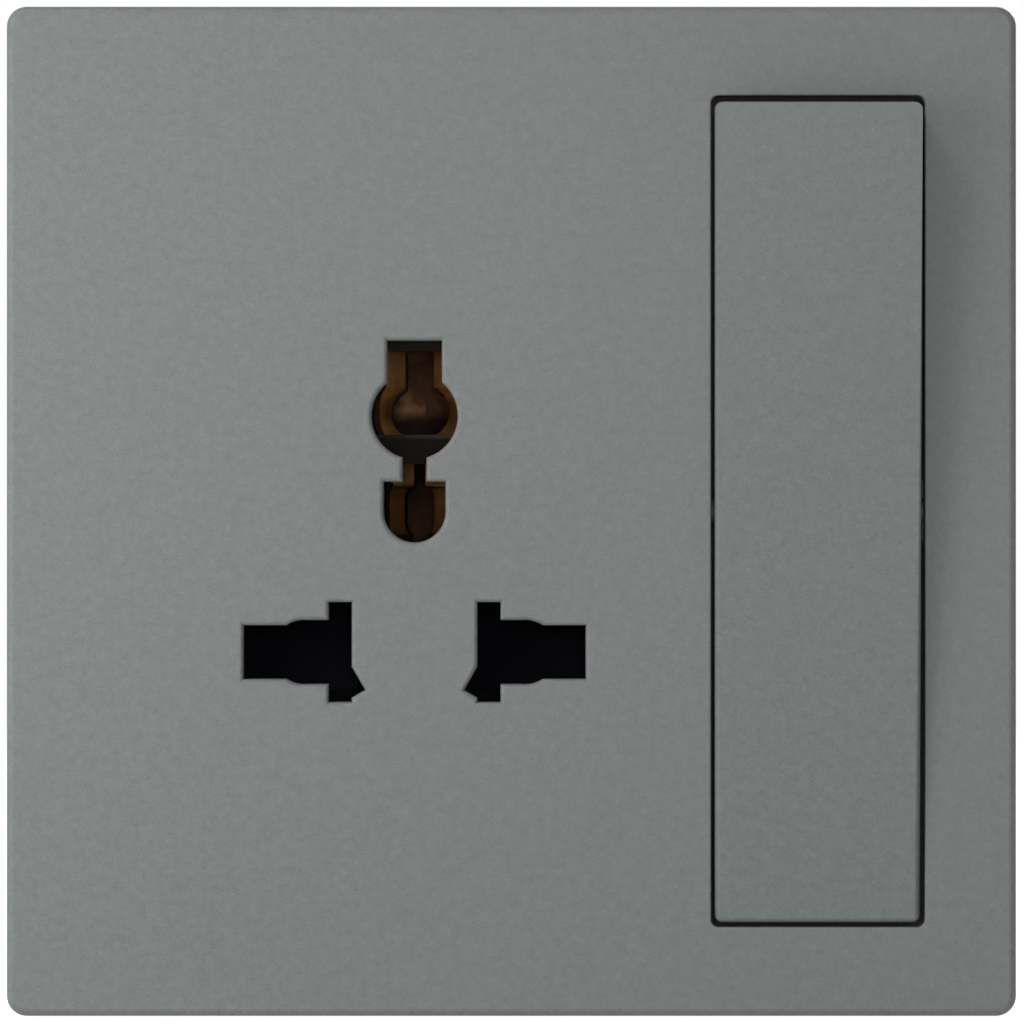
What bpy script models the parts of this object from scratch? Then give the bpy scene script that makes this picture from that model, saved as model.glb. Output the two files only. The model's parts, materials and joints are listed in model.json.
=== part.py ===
"""Switched wall socket with a multi-standard outlet and one long switch key.

Metres. X is to the right, Z is up and the front looks along -Y. The origin is the centre of the
plate on the wall, so everything with a positive Y is sunk in the wall box.
"""

import math

import bmesh
import bpy
from mathutils import Matrix, Vector

MM = 0.001

# Clearances
SEAT_GAP = 0.3 * MM
RUNNING_GAP = 0.05 * MM
OVERRUN = 1.0 * MM
WELD = 0.4 * MM

# Front plate
PLATE_SIDE = 86.0 * MM
PLATE_DEPTH = 8.5 * MM
PLATE_FRONT_WALL = 2.2 * MM
PLATE_SIDE_WALL = 1.8 * MM
PLATE_CORNER_R = 1.7 * MM
PLATE_EDGE_R = 0.7 * MM
APERTURE_CHAMFER = 0.4 * MM
RIB_THICKNESS = 1.0 * MM
RIB_HEIGHT = 1.6 * MM

# Pin apertures, measured from the socket's centre line and the line of the live pins
SOCKET_X = -8.25 * MM
PIN_LINE_Z = -12.0 * MM
FLAT_SLOT_END = 14.58 * MM
FLAT_SLOT_HEIGHT = 4.58 * MM
ROUND_HOLE_X = 9.4 * MM
ROUND_HOLE_R = 2.75 * MM
STEP_SLOT_START = 7.16 * MM
STEP_SLOT_HEIGHT = 5.46 * MM
BLADE_SLOT_X = 6.34 * MM
BLADE_SLOT_WIDTH = 1.97 * MM
BLADE_SLOT_HEIGHT = 8.52 * MM
SLANT_SLOT_X = 6.82 * MM
SLANT_SLOT_DROP = 0.65 * MM
SLANT_SLOT_LENGTH = 7.06 * MM
SLANT_SLOT_WIDTH = 1.94 * MM
SLANT_ANGLE = math.radians(30)
EARTH_SLOT_WIDTH = 4.65 * MM
EARTH_SLOT_TOP = 26.54 * MM
EARTH_HOLE_Z = 20.12 * MM
EARTH_HOLE_R = 3.67 * MM
EARTH_NECK_WIDTH = 2.03 * MM
EARTH_U_WIDTH = 5.27 * MM
EARTH_U_TOP = 14.52 * MM
EARTH_U_Z = 11.98 * MM

# Switch key
KEY_OPENING_WIDTH = 18.2 * MM
KEY_OPENING_HEIGHT = 70.8 * MM
KEY_OPENING_X = 26.1 * MM
KEY_OPENING_CORNER_R = 0.9 * MM
KEY_SIDE_GAP = 0.375 * MM
KEY_END_GAP = 0.525 * MM
KEY_OFFSET_X = -0.06 * MM
KEY_CORNER_R = 1.0 * MM
KEY_EDGE_R = 0.5 * MM
KEY_FACE_WALL = 1.6 * MM
KEY_SIDE_WALL = 1.3 * MM
KEY_SKIRT = 6.0 * MM
KEY_TILT = math.radians(3.7)
KEY_EAR_R = 2.2 * MM
KEY_STUB_R = 1.0 * MM
KEY_STUB_LENGTH = 1.4 * MM
KEY_RIB_PITCH = 12.0 * MM
PIVOT_Y = -4.9 * MM
PIVOT_Z = 0.05 * MM

# Mounting frame
FRAME_THICKNESS = 1.5 * MM
FRAME_CORNER_R = 1.2 * MM
FIXING_PITCH = 60.3 * MM
FIXING_SLOT_LENGTH = 6.5 * MM
FIXING_SLOT_R = 2.1 * MM
CRADLE_WIDTH = 1.75 * MM
CRADLE_HALF_HEIGHT = 2.6 * MM
HOOK_X = 20.0 * MM
HOOK_WIDTH = 8.0 * MM
HOOK_WALL = 1.5 * MM
HOOK_NUB = 1.1 * MM
HOOK_HEIGHT = 3.0 * MM
CATCH_HEIGHT = 1.0 * MM
STOP_PAD_Z = 33.0 * MM
STOP_PAD_WIDTH = 8.0 * MM

# Shutter tray in the frame
TRAY_WALL = 0.7 * MM
TRAY_LEFT_REACH = 15.15 * MM
TRAY_RIGHT_REACH = 15.25 * MM
TRAY_RISE = 5.4 * MM
TRAY_DROP = 14.9 * MM
DECK_Y = 1.8 * MM
DECK_THICKNESS = 1.2 * MM
EARTH_WINDOW_MARGIN = 0.6 * MM

# Shutter
COVER_THICKNESS = 1.0 * MM
COVER_MARGIN = 1.6 * MM
COVER_TOP = 17.0 * MM
COVER_CORNER_R = 1.5 * MM
COVER_APERTURE_MARGIN = 0.3 * MM
COVER_BAR_TOP = 18.55 * MM
COVER_BAR_BOTTOM = 16.05 * MM
COVER_BAR_BEVEL = 0.4 * MM
COVER_EARTH_TOP = 25.7 * MM
SHUTTER_START = 4.9 * MM
SHUTTER_END = 14.9 * MM
SHUTTER_HALF_HEIGHT = 4.7 * MM
SHUTTER_LIP = 1.2 * MM
SHUTTER_CREST = 0.8 * MM
SHUTTER_BAR_HEIGHT = 1.8 * MM
SHUTTER_BAR_Y = -3.5 * MM
SHUTTER_SPRING_R = 1.7 * MM
SHUTTER_SPRING_WIRE = 0.5 * MM
SHUTTER_SPRING_TURNS = 8

# Switch mechanism behind the key
SWITCH_INSET = 5.64 * MM
TONGUE_REACH = 6.75 * MM
TONGUE_NOSE_R = 0.8 * MM
TONGUE_WIDTH = 2.0 * MM
TONGUE_ROOT = 3.2 * MM
TONGUE_WINDOW_HALF = 3.0 * MM
FORK_REACH = 2.25 * MM
FORK_GAP = 0.12 * MM
PRONG_THICKNESS = 0.9 * MM
ACTUATOR_WIDTH = 4.0 * MM
ACTUATOR_HUB_R = 1.9 * MM
ACTUATOR_PIN_R = 0.9 * MM
BARREL_SIDE = 3.6 * MM
BARREL_END = 6.2 * MM
BARREL_FLOOR = 2.2 * MM
EAR_WALL = 1.2 * MM
EAR_HALF_HEIGHT = 2.6 * MM
EAR_LENGTH = 1.7 * MM
PLUNGER_R = 1.1 * MM
PLUNGER_TIP = 8.0 * MM
PLUNGER_TAIL = 4.6 * MM
PLUNGER_GAP = 0.15 * MM
PLUNGER_SPRING_WIRE = 0.3 * MM
PLUNGER_SPRING_TURNS = 4

# See-saw contact, its fulcrum and the fixed contact
SEESAW_TILT = math.radians(8)
SEESAW_PLUNGER_GAP = 0.08 * MM
SEESAW_THICKNESS = 1.0 * MM
SEESAW_HALF_LENGTH = 9.5 * MM
SEESAW_WIDTH = 3.4 * MM
SEESAW_AXIS_SETBACK = 0.42 * MM
FULCRUM_R = 0.5 * MM
TIP_Z = 8.0 * MM
TIP_R = 1.3 * MM
TIP_THICKNESS = 0.7 * MM
TIP_SHANK_R = 0.6 * MM
TIP_HOLE_R = 0.75 * MM
FIXED_TIP_Y = 15.7 * MM
STRIP_THICKNESS = 0.8 * MM
STRIP_HALF_HEIGHT = 2.4 * MM
FIXED_STRIP_DROP = 3.0 * MM

# Pin contacts
SHEET = 0.6 * MM
WEB_Y = 14.8 * MM
MOUTH_Y = 3.4 * MM
PIN_GRIP = 4.1 * MM
PIN_PINCH = 0.25 * MM
MOUTH_FLARE = 0.75 * MM
PINCH_Y = 4.8 * MM
LEAF_START = 7.9 * MM
LEAF_END = 15.2 * MM
BLADE_LEAF_X = 5.0 * MM
BLADE_LEAF_HALF = 3.4 * MM
WEB_HALF_HEIGHT = 3.0 * MM
EARTH_SHIFT = 0.35 * MM
EARTH_LIP_Y = -4.1 * MM
EARTH_THROAT_Y = -2.9 * MM
EARTH_LIP_SLOPE = 0.445
EARTH_LIP_HALF = 2.19 * MM
EARTH_LOWER_LIP_HALF = 1.87 * MM
EARTH_THROAT_TOP = 25.72 * MM
EARTH_THROAT_HALF = 1.245 * MM
EARTH_BULGE_Z = 20.54 * MM
EARTH_BULGE_R = 2.57 * MM
EARTH_WAIST_HALF = 0.5 * MM
EARTH_POCKET_HALF = 1.28 * MM
EARTH_POCKET_TOP = 14.31 * MM
EARTH_POCKET_BOTTOM = 9.74 * MM
TAIL_WIDTH = 4.0 * MM

# Terminals
TERMINAL_SIDE = 7.0 * MM
TERMINAL_DEPTH = 7.0 * MM
TERMINAL_BEVEL = 0.5 * MM
TERMINAL_WALL_ROOM = 1.8 * MM
TERMINAL_PITCH = 8.85 * MM
LINE_TERMINAL_INSET = 3.3 * MM
TERMINAL_BOSS_GAP = 0.5 * MM
WIRE_HOLE_R = 1.7 * MM
WIRE_HOLE_DEPTH = 2.6 * MM
TERMINAL_SCREW_R = 1.4 * MM
SCREW_HEAD_R = 2.4 * MM
SCREW_HEAD_HEIGHT = 1.6 * MM
SCREW_SLOT_WIDTH = 0.7 * MM

# Rear housing
HOUSING_HALF_WIDTH = 28.0 * MM
HOUSING_HALF_HEIGHT = 29.5 * MM
HOUSING_CORNER = 1.6 * MM
HOUSING_WALL = 1.6 * MM
HOUSING_DEPTH = 27.0 * MM
HOUSING_BACK_WALL = 2.4 * MM
HOUSING_BACK_CHAMFER = 0.8 * MM
LUG_NOTCH_DEPTH = 2.0 * MM
LUG_NOTCH_HALF = 5.0 * MM
WELL_R = 3.0 * MM
WELL_WALL = 1.0 * MM
CABLE_HOLE_R = 3.0 * MM
BOSS_WALL_GAP = 0.2 * MM
BOSS_R = 2.6 * MM
POST_R = 2.3 * MM
POST_LENGTH = 8.0 * MM
POST_HOLE_R = 1.35 * MM
HOUSING_SCREW_R = 1.3 * MM
HOUSING_SCREW_START = 3.6 * MM
HOUSING_SCREW_SINK = 1.9 * MM
SCREW_CLEARANCE = 0.3 * MM

# Roundness
CORNER_STEPS = 4
EDGE_STEPS = 4
HOLE_STEPS = 24
ROD_STEPS = 14
COIL_STEPS = 10
WIRE_STEPS = 5
SHARP_ANGLE = math.radians(35)

# Places worked out from the sizes above
PLATE_FRONT = -PLATE_DEPTH
PLATE_INNER = PLATE_FRONT + PLATE_FRONT_WALL
PLATE_CAVITY = PLATE_SIDE / 2 - PLATE_SIDE_WALL
KEY_X = KEY_OPENING_X + KEY_OFFSET_X
KEY_WIDTH = KEY_OPENING_WIDTH - 2 * KEY_SIDE_GAP
KEY_LENGTH = KEY_OPENING_HEIGHT - 2 * KEY_END_GAP
KEY_FACE = (PIVOT_Y - PLATE_FRONT + KEY_LENGTH / 2 * math.sin(KEY_TILT)) / math.cos(KEY_TILT)
FRAME_SIDE = 2 * (PLATE_CAVITY - SEAT_GAP)
FRAME_FRONT = -FRAME_THICKNESS
COVER_FRONT = PLATE_INNER + SEAT_GAP
COVER_BACK = COVER_FRONT + COVER_THICKNESS
TRAY_LEFT = SOCKET_X - TRAY_LEFT_REACH
TRAY_RIGHT = SOCKET_X + TRAY_RIGHT_REACH
TRAY_TOP = PIN_LINE_Z + TRAY_RISE
TRAY_BOTTOM = PIN_LINE_Z - TRAY_DROP
SHUTTER_FRONT = COVER_BACK + SEAT_GAP
SHUTTER_BACK = DECK_Y - SEAT_GAP
SHUTTER_TOP = PIN_LINE_Z + SHUTTER_HALF_HEIGHT
SHUTTER_BOTTOM = PIN_LINE_Z - SHUTTER_HALF_HEIGHT
SWITCH_X = KEY_X - SWITCH_INSET
ACTUATOR_Y = PIVOT_Y + TONGUE_REACH + FORK_REACH
LEVER_RATIO = TONGUE_REACH / FORK_REACH
SEESAW_FRONT = ACTUATOR_Y + PLUNGER_TIP + SEESAW_PLUNGER_GAP
SEESAW_Y = SEESAW_FRONT + SEESAW_THICKNESS + SEESAW_AXIS_SETBACK
WEB_BACK = WEB_Y + SHEET
TERMINAL_FRONT = WEB_BACK + SEAT_GAP
TERMINAL_BACK = TERMINAL_FRONT + TERMINAL_DEPTH
BACK_INNER = HOUSING_DEPTH - HOUSING_BACK_WALL
LUG_NOTCH_X = HOUSING_HALF_WIDTH - LUG_NOTCH_DEPTH
BOSS_X = HOUSING_HALF_WIDTH - HOUSING_WALL - BOSS_WALL_GAP - BOSS_R
BOSS_Z = HOUSING_HALF_HEIGHT - HOUSING_WALL - BOSS_WALL_GAP - BOSS_R
TERMINAL_ROW_Z = HOUSING_HALF_HEIGHT - HOUSING_WALL - TERMINAL_WALL_ROOM - TERMINAL_SIDE / 2
NEUTRAL_TERMINAL_X = SOCKET_X - TERMINAL_PITCH
LINE_TERMINAL_X = SWITCH_X - LINE_TERMINAL_INSET
LINE_TERMINAL_Z = BOSS_R + TERMINAL_BOSS_GAP + TERMINAL_SIDE / 2 - BOSS_Z
EARTH_X = SOCKET_X + EARTH_SHIFT


def clear_scene():
    """Remove every object, so the model starts from an empty scene."""
    for old in list(bpy.data.objects):
        bpy.data.objects.remove(old, do_unlink=True)


def plastic(name, colour, roughness):
    """Return a moulded plastic material."""
    return surface(name, colour, roughness, 0.0)


def metal(name, colour, roughness):
    """Return a bare metal material."""
    return surface(name, colour, roughness, 1.0)


def surface(name, colour, roughness, metallic):
    """Return a Principled material with one colour."""
    made = bpy.data.materials.new(name)
    made.use_nodes = True
    shader = made.node_tree.nodes["Principled BSDF"]
    shader.inputs["Base Color"].default_value = (*colour, 1.0)
    shader.inputs["Roughness"].default_value = roughness
    shader.inputs["Metallic"].default_value = metallic
    made.diffuse_color = (*colour, 1.0)
    return made


def new_object(name, shape, finish=None):
    """Turn a bmesh into an object whose faces point outwards."""
    bmesh.ops.recalc_face_normals(shape, faces=shape.faces)
    mesh = bpy.data.meshes.new(name)
    shape.to_mesh(mesh)
    shape.free()
    made = bpy.data.objects.new(name, mesh)
    bpy.context.scene.collection.objects.link(made)
    if finish:
        mesh.materials.append(finish)
    return made


def smooth(part):
    """Shade the round faces smooth and leave the corners sharp."""
    part.data.shade_smooth()
    part.data.set_sharp_from_angle(angle=SHARP_ANGLE)


def combine(part, tool, operation):
    """Apply a Boolean of one object with a tool, and remove the tool."""
    step = part.modifiers.new(operation.title(), "BOOLEAN")
    step.operation = operation
    step.object = tool
    step.solver = "EXACT"
    bpy.context.view_layer.update()
    graph = bpy.context.evaluated_depsgraph_get()
    result = bpy.data.meshes.new_from_object(part.evaluated_get(graph))
    finish = part.data.materials[0] if part.data.materials else None
    part.modifiers.remove(step)
    part.data = result
    result.materials.clear()
    if finish:
        result.materials.append(finish)
    bpy.data.objects.remove(tool, do_unlink=True)


def cut(part, *tools):
    """Cut every tool out of the part."""
    for tool in tools:
        combine(part, tool, "DIFFERENCE")


def weld(part, *pieces):
    """Fuse every piece with the part into one body."""
    for piece in pieces:
        combine(part, piece, "UNION")


def tidy(part):
    """Merge the coincident corners that cuts leave behind."""
    shape = bmesh.new()
    shape.from_mesh(part.data)
    bmesh.ops.remove_doubles(shape, verts=shape.verts, dist=0.002 * MM)
    bmesh.ops.dissolve_degenerate(shape, edges=shape.edges, dist=0.001 * MM)
    shape.to_mesh(part.data)
    shape.free()
    smooth(part)


# Outlines are lists of points in a plane, and a plane is named by the axis that it faces


def rectangle(low_a, high_a, low_b, high_b):
    """Return a rectangle between two limits on each axis."""
    return [(low_a, low_b), (high_a, low_b), (high_a, high_b), (low_a, high_b)]


def arc(centre, radius, start, end, steps):
    """Return points on an arc, both ends included, with angles in radians."""
    turn = (end - start) / steps
    return [
        (centre[0] + radius * math.cos(start + turn * i), centre[1] + radius * math.sin(start + turn * i))
        for i in range(steps + 1)
    ]


def circle(centre, radius, steps):
    """Return a circle as a closed outline."""
    return arc(centre, radius, 0, 2 * math.pi, steps)[:-1]


def rounded_rectangle(width, height, radius, centre=(0, 0)):
    """Return a rectangle with round corners."""
    reach_a = width / 2 - radius
    reach_b = height / 2 - radius
    points = []
    for quarter, (side_a, side_b) in enumerate([(1, 1), (-1, 1), (-1, -1), (1, -1)]):
        corner = (centre[0] + side_a * reach_a, centre[1] + side_b * reach_b)
        start = quarter * math.pi / 2
        points += arc(corner, radius, start, start + math.pi / 2, CORNER_STEPS)
    return points


def slot(centre, length, radius, steps):
    """Return a slot with round ends that runs along the first axis."""
    reach = length / 2 - radius
    right = arc((centre[0] + reach, centre[1]), radius, -math.pi / 2, math.pi / 2, steps)
    left = arc((centre[0] - reach, centre[1]), radius, math.pi / 2, 3 * math.pi / 2, steps)
    return right + left


def grown(outline, amount):
    """Move each side of a convex anticlockwise outline outwards by an amount."""
    points = []
    count = len(outline)
    for i in range(count):
        before = Vector(outline[i]) - Vector(outline[i - 1])
        after = Vector(outline[(i + 1) % count]) - Vector(outline[i])
        out_before = Vector((before.y, -before.x)).normalized()
        out_after = Vector((after.y, -after.x)).normalized()
        middle = (out_before + out_after).normalized()
        point = Vector(outline[i]) + middle * (amount / middle.dot(out_before))
        points.append((point.x, point.y))
    return points


def band(path, thickness):
    """Return the outline of a folded sheet whose middle follows a path."""
    sides = ([], [])
    for i, point in enumerate(path):
        here = Vector(point)
        before = (here - Vector(path[i - 1])).normalized() if i else None
        after = (Vector(path[i + 1]) - here).normalized() if i + 1 < len(path) else None
        before = before or after
        after = after or before
        normal = (Vector((-before.y, before.x)) + Vector((-after.y, after.x))).normalized()
        reach = thickness / 2 / normal.dot(Vector((-before.y, before.x)))
        sides[0].append(tuple(here + normal * reach))
        sides[1].append(tuple(here - normal * reach))
    return sides[0] + sides[1][::-1]


def placed(outline, axis, level):
    """Lift an outline into space, at a level on the axis that its plane faces."""
    if axis == "X":
        return [(level, a, b) for a, b in outline]
    if axis == "Y":
        return [(a, level, b) for a, b in outline]
    return [(a, b, level) for a, b in outline]


def loft(name, rings, finish=None):
    """Join rings of points, with a flat cap on the first and the last."""
    shape = bmesh.new()
    loops = [[shape.verts.new(point) for point in ring] for ring in rings]
    count = len(loops[0])
    for lower, upper in zip(loops, loops[1:]):
        for i in range(count):
            j = (i + 1) % count
            shape.faces.new((lower[i], lower[j], upper[j], upper[i]))
    shape.faces.new(loops[0])
    shape.faces.new(loops[-1])
    return new_object(name, shape, finish)


def prism(name, outline, axis, start, end, finish=None):
    """Extrude an outline from one level to another."""
    return loft(name, [placed(outline, axis, start), placed(outline, axis, end)], finish)


def block(name, low, high, finish=None):
    """Return a box between two corners."""
    return prism(name, rectangle(low[0], high[0], low[2], high[2]), "Y", low[1], high[1], finish)


def turned(name, centre, axis, profile, finish=None, steps=ROD_STEPS):
    """Turn a profile of (level, radius) pairs about an axis through a centre."""
    rings = [placed(circle(centre, radius, steps), axis, level) for level, radius in profile]
    return loft(name, rings, finish)


def rod(name, centre, axis, radius, start, end, finish=None, steps=ROD_STEPS):
    """Return a plain round rod, or the cutter of a round hole."""
    return turned(name, centre, axis, [(start, radius), (end, radius)], finish, steps)


def coil(name, radius, wire, length, turns, finish):
    """Return a helical spring that stands on the origin and runs along +Z."""
    count = turns * COIL_STEPS
    reach = length - wire
    rise = reach / (2 * math.pi * turns)
    rings = []
    for i in range(count + 1):
        angle = 2 * math.pi * i / COIL_STEPS
        out = Vector((math.cos(angle), math.sin(angle), 0))
        along = Vector((-radius * math.sin(angle), radius * math.cos(angle), rise)).normalized()
        side = along.cross(out)
        middle = out * radius + Vector((0, 0, wire / 2 + reach * i / count))
        rings.append([
            middle + out * a + side * b for a, b in circle((0, 0), wire / 2, WIRE_STEPS)
        ])
    return loft(name, rings, finish)


# Pin apertures


def live_outlines(side):
    """Return the convex outlines that make up one live aperture, on the right (1) or left (-1)."""
    half_flat = FLAT_SLOT_HEIGHT / 2
    half_step = STEP_SLOT_HEIGHT / 2
    blade_start = BLADE_SLOT_X - BLADE_SLOT_WIDTH / 2
    blade_end = BLADE_SLOT_X + BLADE_SLOT_WIDTH / 2
    slant = Matrix.Rotation(-SLANT_ANGLE, 2)
    slanted = [
        tuple(Vector((SLANT_SLOT_X, -SLANT_SLOT_DROP)) + slant @ Vector(corner))
        for corner in rectangle(
            -SLANT_SLOT_WIDTH / 2, SLANT_SLOT_WIDTH / 2, -SLANT_SLOT_LENGTH / 2, SLANT_SLOT_LENGTH / 2
        )
    ]
    outlines = [
        rectangle(BLADE_SLOT_X, FLAT_SLOT_END, -half_flat, half_flat),
        circle((ROUND_HOLE_X, 0), ROUND_HOLE_R, HOLE_STEPS),
        rectangle(STEP_SLOT_START, ROUND_HOLE_X, -half_step, half_step),
        rectangle(blade_start, blade_end, -BLADE_SLOT_HEIGHT / 2, BLADE_SLOT_HEIGHT / 2),
        slanted,
    ]
    placed_outlines = []
    for outline in outlines:
        points = [(SOCKET_X + side * a, PIN_LINE_Z + b) for a, b in outline]
        placed_outlines.append(points if side > 0 else points[::-1])
    return placed_outlines


def earth_outlines():
    """Return the convex outlines that make up the earth aperture."""
    half_slot = EARTH_SLOT_WIDTH / 2
    half_neck = EARTH_NECK_WIDTH / 2
    half_u = EARTH_U_WIDTH / 2
    u_shape = arc((0, EARTH_U_Z), half_u, math.pi, 2 * math.pi, HOLE_STEPS // 2)
    u_shape += [(half_u, EARTH_U_TOP), (-half_u, EARTH_U_TOP)]
    outlines = [
        rectangle(-half_slot, half_slot, EARTH_HOLE_Z, EARTH_SLOT_TOP),
        circle((0, EARTH_HOLE_Z), EARTH_HOLE_R, HOLE_STEPS),
        rectangle(-half_neck, half_neck, EARTH_U_Z, EARTH_HOLE_Z),
        u_shape,
    ]
    return [[(SOCKET_X + a, PIN_LINE_Z + b) for a, b in outline] for outline in outlines]


def aperture_outlines():
    """Return every outline of the three apertures."""
    return live_outlines(1) + live_outlines(-1) + earth_outlines()


def flared_cutter(outline, front, back, chamfer):
    """Return a cutter whose mouth at the front widens by a chamfer."""
    return loft("cutter", [
        placed(grown(outline, chamfer + OVERRUN), "Y", front - OVERRUN),
        placed(outline, "Y", front + chamfer),
        placed(outline, "Y", back + OVERRUN),
    ])


# Front plate


def shell_rings(width, height, corner, edge, front, wall, side_wall, back):
    """Return the rings of an open box with a round front edge, from its face round to its inside."""
    rings = []
    for i in range(EDGE_STEPS + 1):
        turn = math.pi / 2 * i / EDGE_STEPS
        inset = edge * (1 - math.sin(turn))
        level = front + edge * (1 - math.cos(turn))
        radius = max(corner - inset, corner / 4)
        rings.append((width - 2 * inset, height - 2 * inset, radius, level))
    inner = (width - 2 * side_wall, height - 2 * side_wall, max(corner - side_wall, corner / 4))
    rings.append((width, height, corner, back))
    rings.append((*inner, back))
    rings.append((*inner, front + wall))
    return [placed(rounded_rectangle(w, h, r), "Y", level) for w, h, r, level in rings]


def front_plate():
    """Square plate with the key's opening, the apertures, stiffening ribs and snap catches."""
    finish = plastic("plate_plastic", (0.22, 0.235, 0.225), 0.5)
    rings = shell_rings(
        PLATE_SIDE, PLATE_SIDE, PLATE_CORNER_R, PLATE_EDGE_R,
        PLATE_FRONT, PLATE_FRONT_WALL, PLATE_SIDE_WALL, 0,
    )
    plate = loft("front_plate", rings, finish)
    rib_x = (cover_right() + cradle_left()) / 2
    rib_back = PLATE_INNER + RIB_HEIGHT
    reach = PLATE_CAVITY + WELD
    weld(plate, block(
        "rib",
        (rib_x - RIB_THICKNESS / 2, PLATE_INNER - WELD, -reach),
        (rib_x + RIB_THICKNESS / 2, rib_back, reach),
    ))
    rib_z = COVER_TOP + COVER_MARGIN + RIB_THICKNESS
    lower_rib_z = cover_bottom() - COVER_MARGIN - RIB_THICKNESS
    for level in (rib_z, (rib_z + PLATE_CAVITY) / 2, lower_rib_z):
        weld(plate, block(
            "rib",
            (-reach, PLATE_INNER - WELD, level - RIB_THICKNESS / 2),
            (rib_x, rib_back - WELD, level + RIB_THICKNESS / 2),
        ))
    catch_back = FRAME_FRONT - SEAT_GAP
    for side_x in (1, -1):
        for side_z in (1, -1):
            low = side_z * (PLATE_CAVITY + WELD)
            high = side_z * (PLATE_CAVITY - HOOK_NUB + SEAT_GAP / 2)
            profile = [
                (catch_back, low),
                (catch_back, high),
                (catch_back - CATCH_HEIGHT, high),
                (catch_back - 2 * CATCH_HEIGHT, low),
            ]
            half = HOOK_WIDTH / 2
            centre = side_x * HOOK_X
            weld(plate, prism("catch", profile, "X", centre - half, centre + half))
    opening = rounded_rectangle(
        KEY_OPENING_WIDTH, KEY_OPENING_HEIGHT, KEY_OPENING_CORNER_R, (KEY_OPENING_X, 0)
    )
    cut(plate, flared_cutter(opening, PLATE_FRONT, rib_back, APERTURE_CHAMFER / 4))
    for outline in aperture_outlines():
        cut(plate, flared_cutter(outline, PLATE_FRONT, PLATE_INNER, APERTURE_CHAMFER))
    tidy(plate)
    return plate


# Switch key


def rocker_key():
    """Long key: a shell with a round edge, two pivot ears with stubs, ribs and the tongue."""
    finish = plastic("key_plastic", (0.21, 0.222, 0.214), 0.5)
    key = loft("rocker_key", shell_rings(
        KEY_WIDTH, KEY_LENGTH, KEY_CORNER_R, KEY_EDGE_R, -KEY_FACE,
        KEY_FACE_WALL, KEY_SIDE_WALL, -KEY_FACE + KEY_SKIRT,
    ), finish)
    half = KEY_WIDTH / 2
    step = WELD / 4
    inside = half - KEY_SIDE_WALL
    face_inner = -KEY_FACE + KEY_FACE_WALL
    for side in (1, -1):
        ear = arc((0, 0), KEY_EAR_R, -math.pi / 2, math.pi / 2, ROD_STEPS // 2)
        ear += [(face_inner / 2, KEY_EAR_R), (face_inner / 2, -KEY_EAR_R)]
        outer = side * (half - step)
        weld(key, prism("ear", ear, "X", side * (inside - step), outer))
        weld(key, rod("stub", (0, 0), "X", KEY_STUB_R, side * inside, side * (half + KEY_STUB_LENGTH)))
    for place in (-2, -1, 1, 2):
        level = place * KEY_RIB_PITCH
        weld(key, block(
            "rib",
            (-inside - step, face_inner - WELD, level - RIB_THICKNESS / 2),
            (inside + step, face_inner + RIB_HEIGHT, level + RIB_THICKNESS / 2),
        ))
    waist = TONGUE_NOSE_R * 0.75
    nose_start = math.pi - math.asin(waist / TONGUE_NOSE_R)
    tongue = [(face_inner - WELD, TONGUE_ROOT / 2), (face_inner - WELD, -TONGUE_ROOT / 2)]
    tongue += arc((TONGUE_REACH, 0), TONGUE_NOSE_R, -nose_start, nose_start, ROD_STEPS)
    middle = SWITCH_X - KEY_X
    weld(key, prism("tongue", tongue, "X", middle - TONGUE_WIDTH / 2, middle + TONGUE_WIDTH / 2))
    tidy(key)
    key.location = (KEY_X, PIVOT_Y, PIVOT_Z)
    key.rotation_euler.x = KEY_TILT
    return key


# Mounting frame


def cradle_left():
    """Left side of the left cradle, which stands just outside the key."""
    return KEY_X - KEY_WIDTH / 2 - SEAT_GAP - CRADLE_WIDTH


def actuator_ears():
    """Return the X limits of the two ears that hold the actuator's pin."""
    inner = ACTUATOR_WIDTH / 2 + SEAT_GAP
    return [(SWITCH_X + side * inner, SWITCH_X + side * (inner + EAR_WALL)) for side in (-1, 1)]


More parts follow.
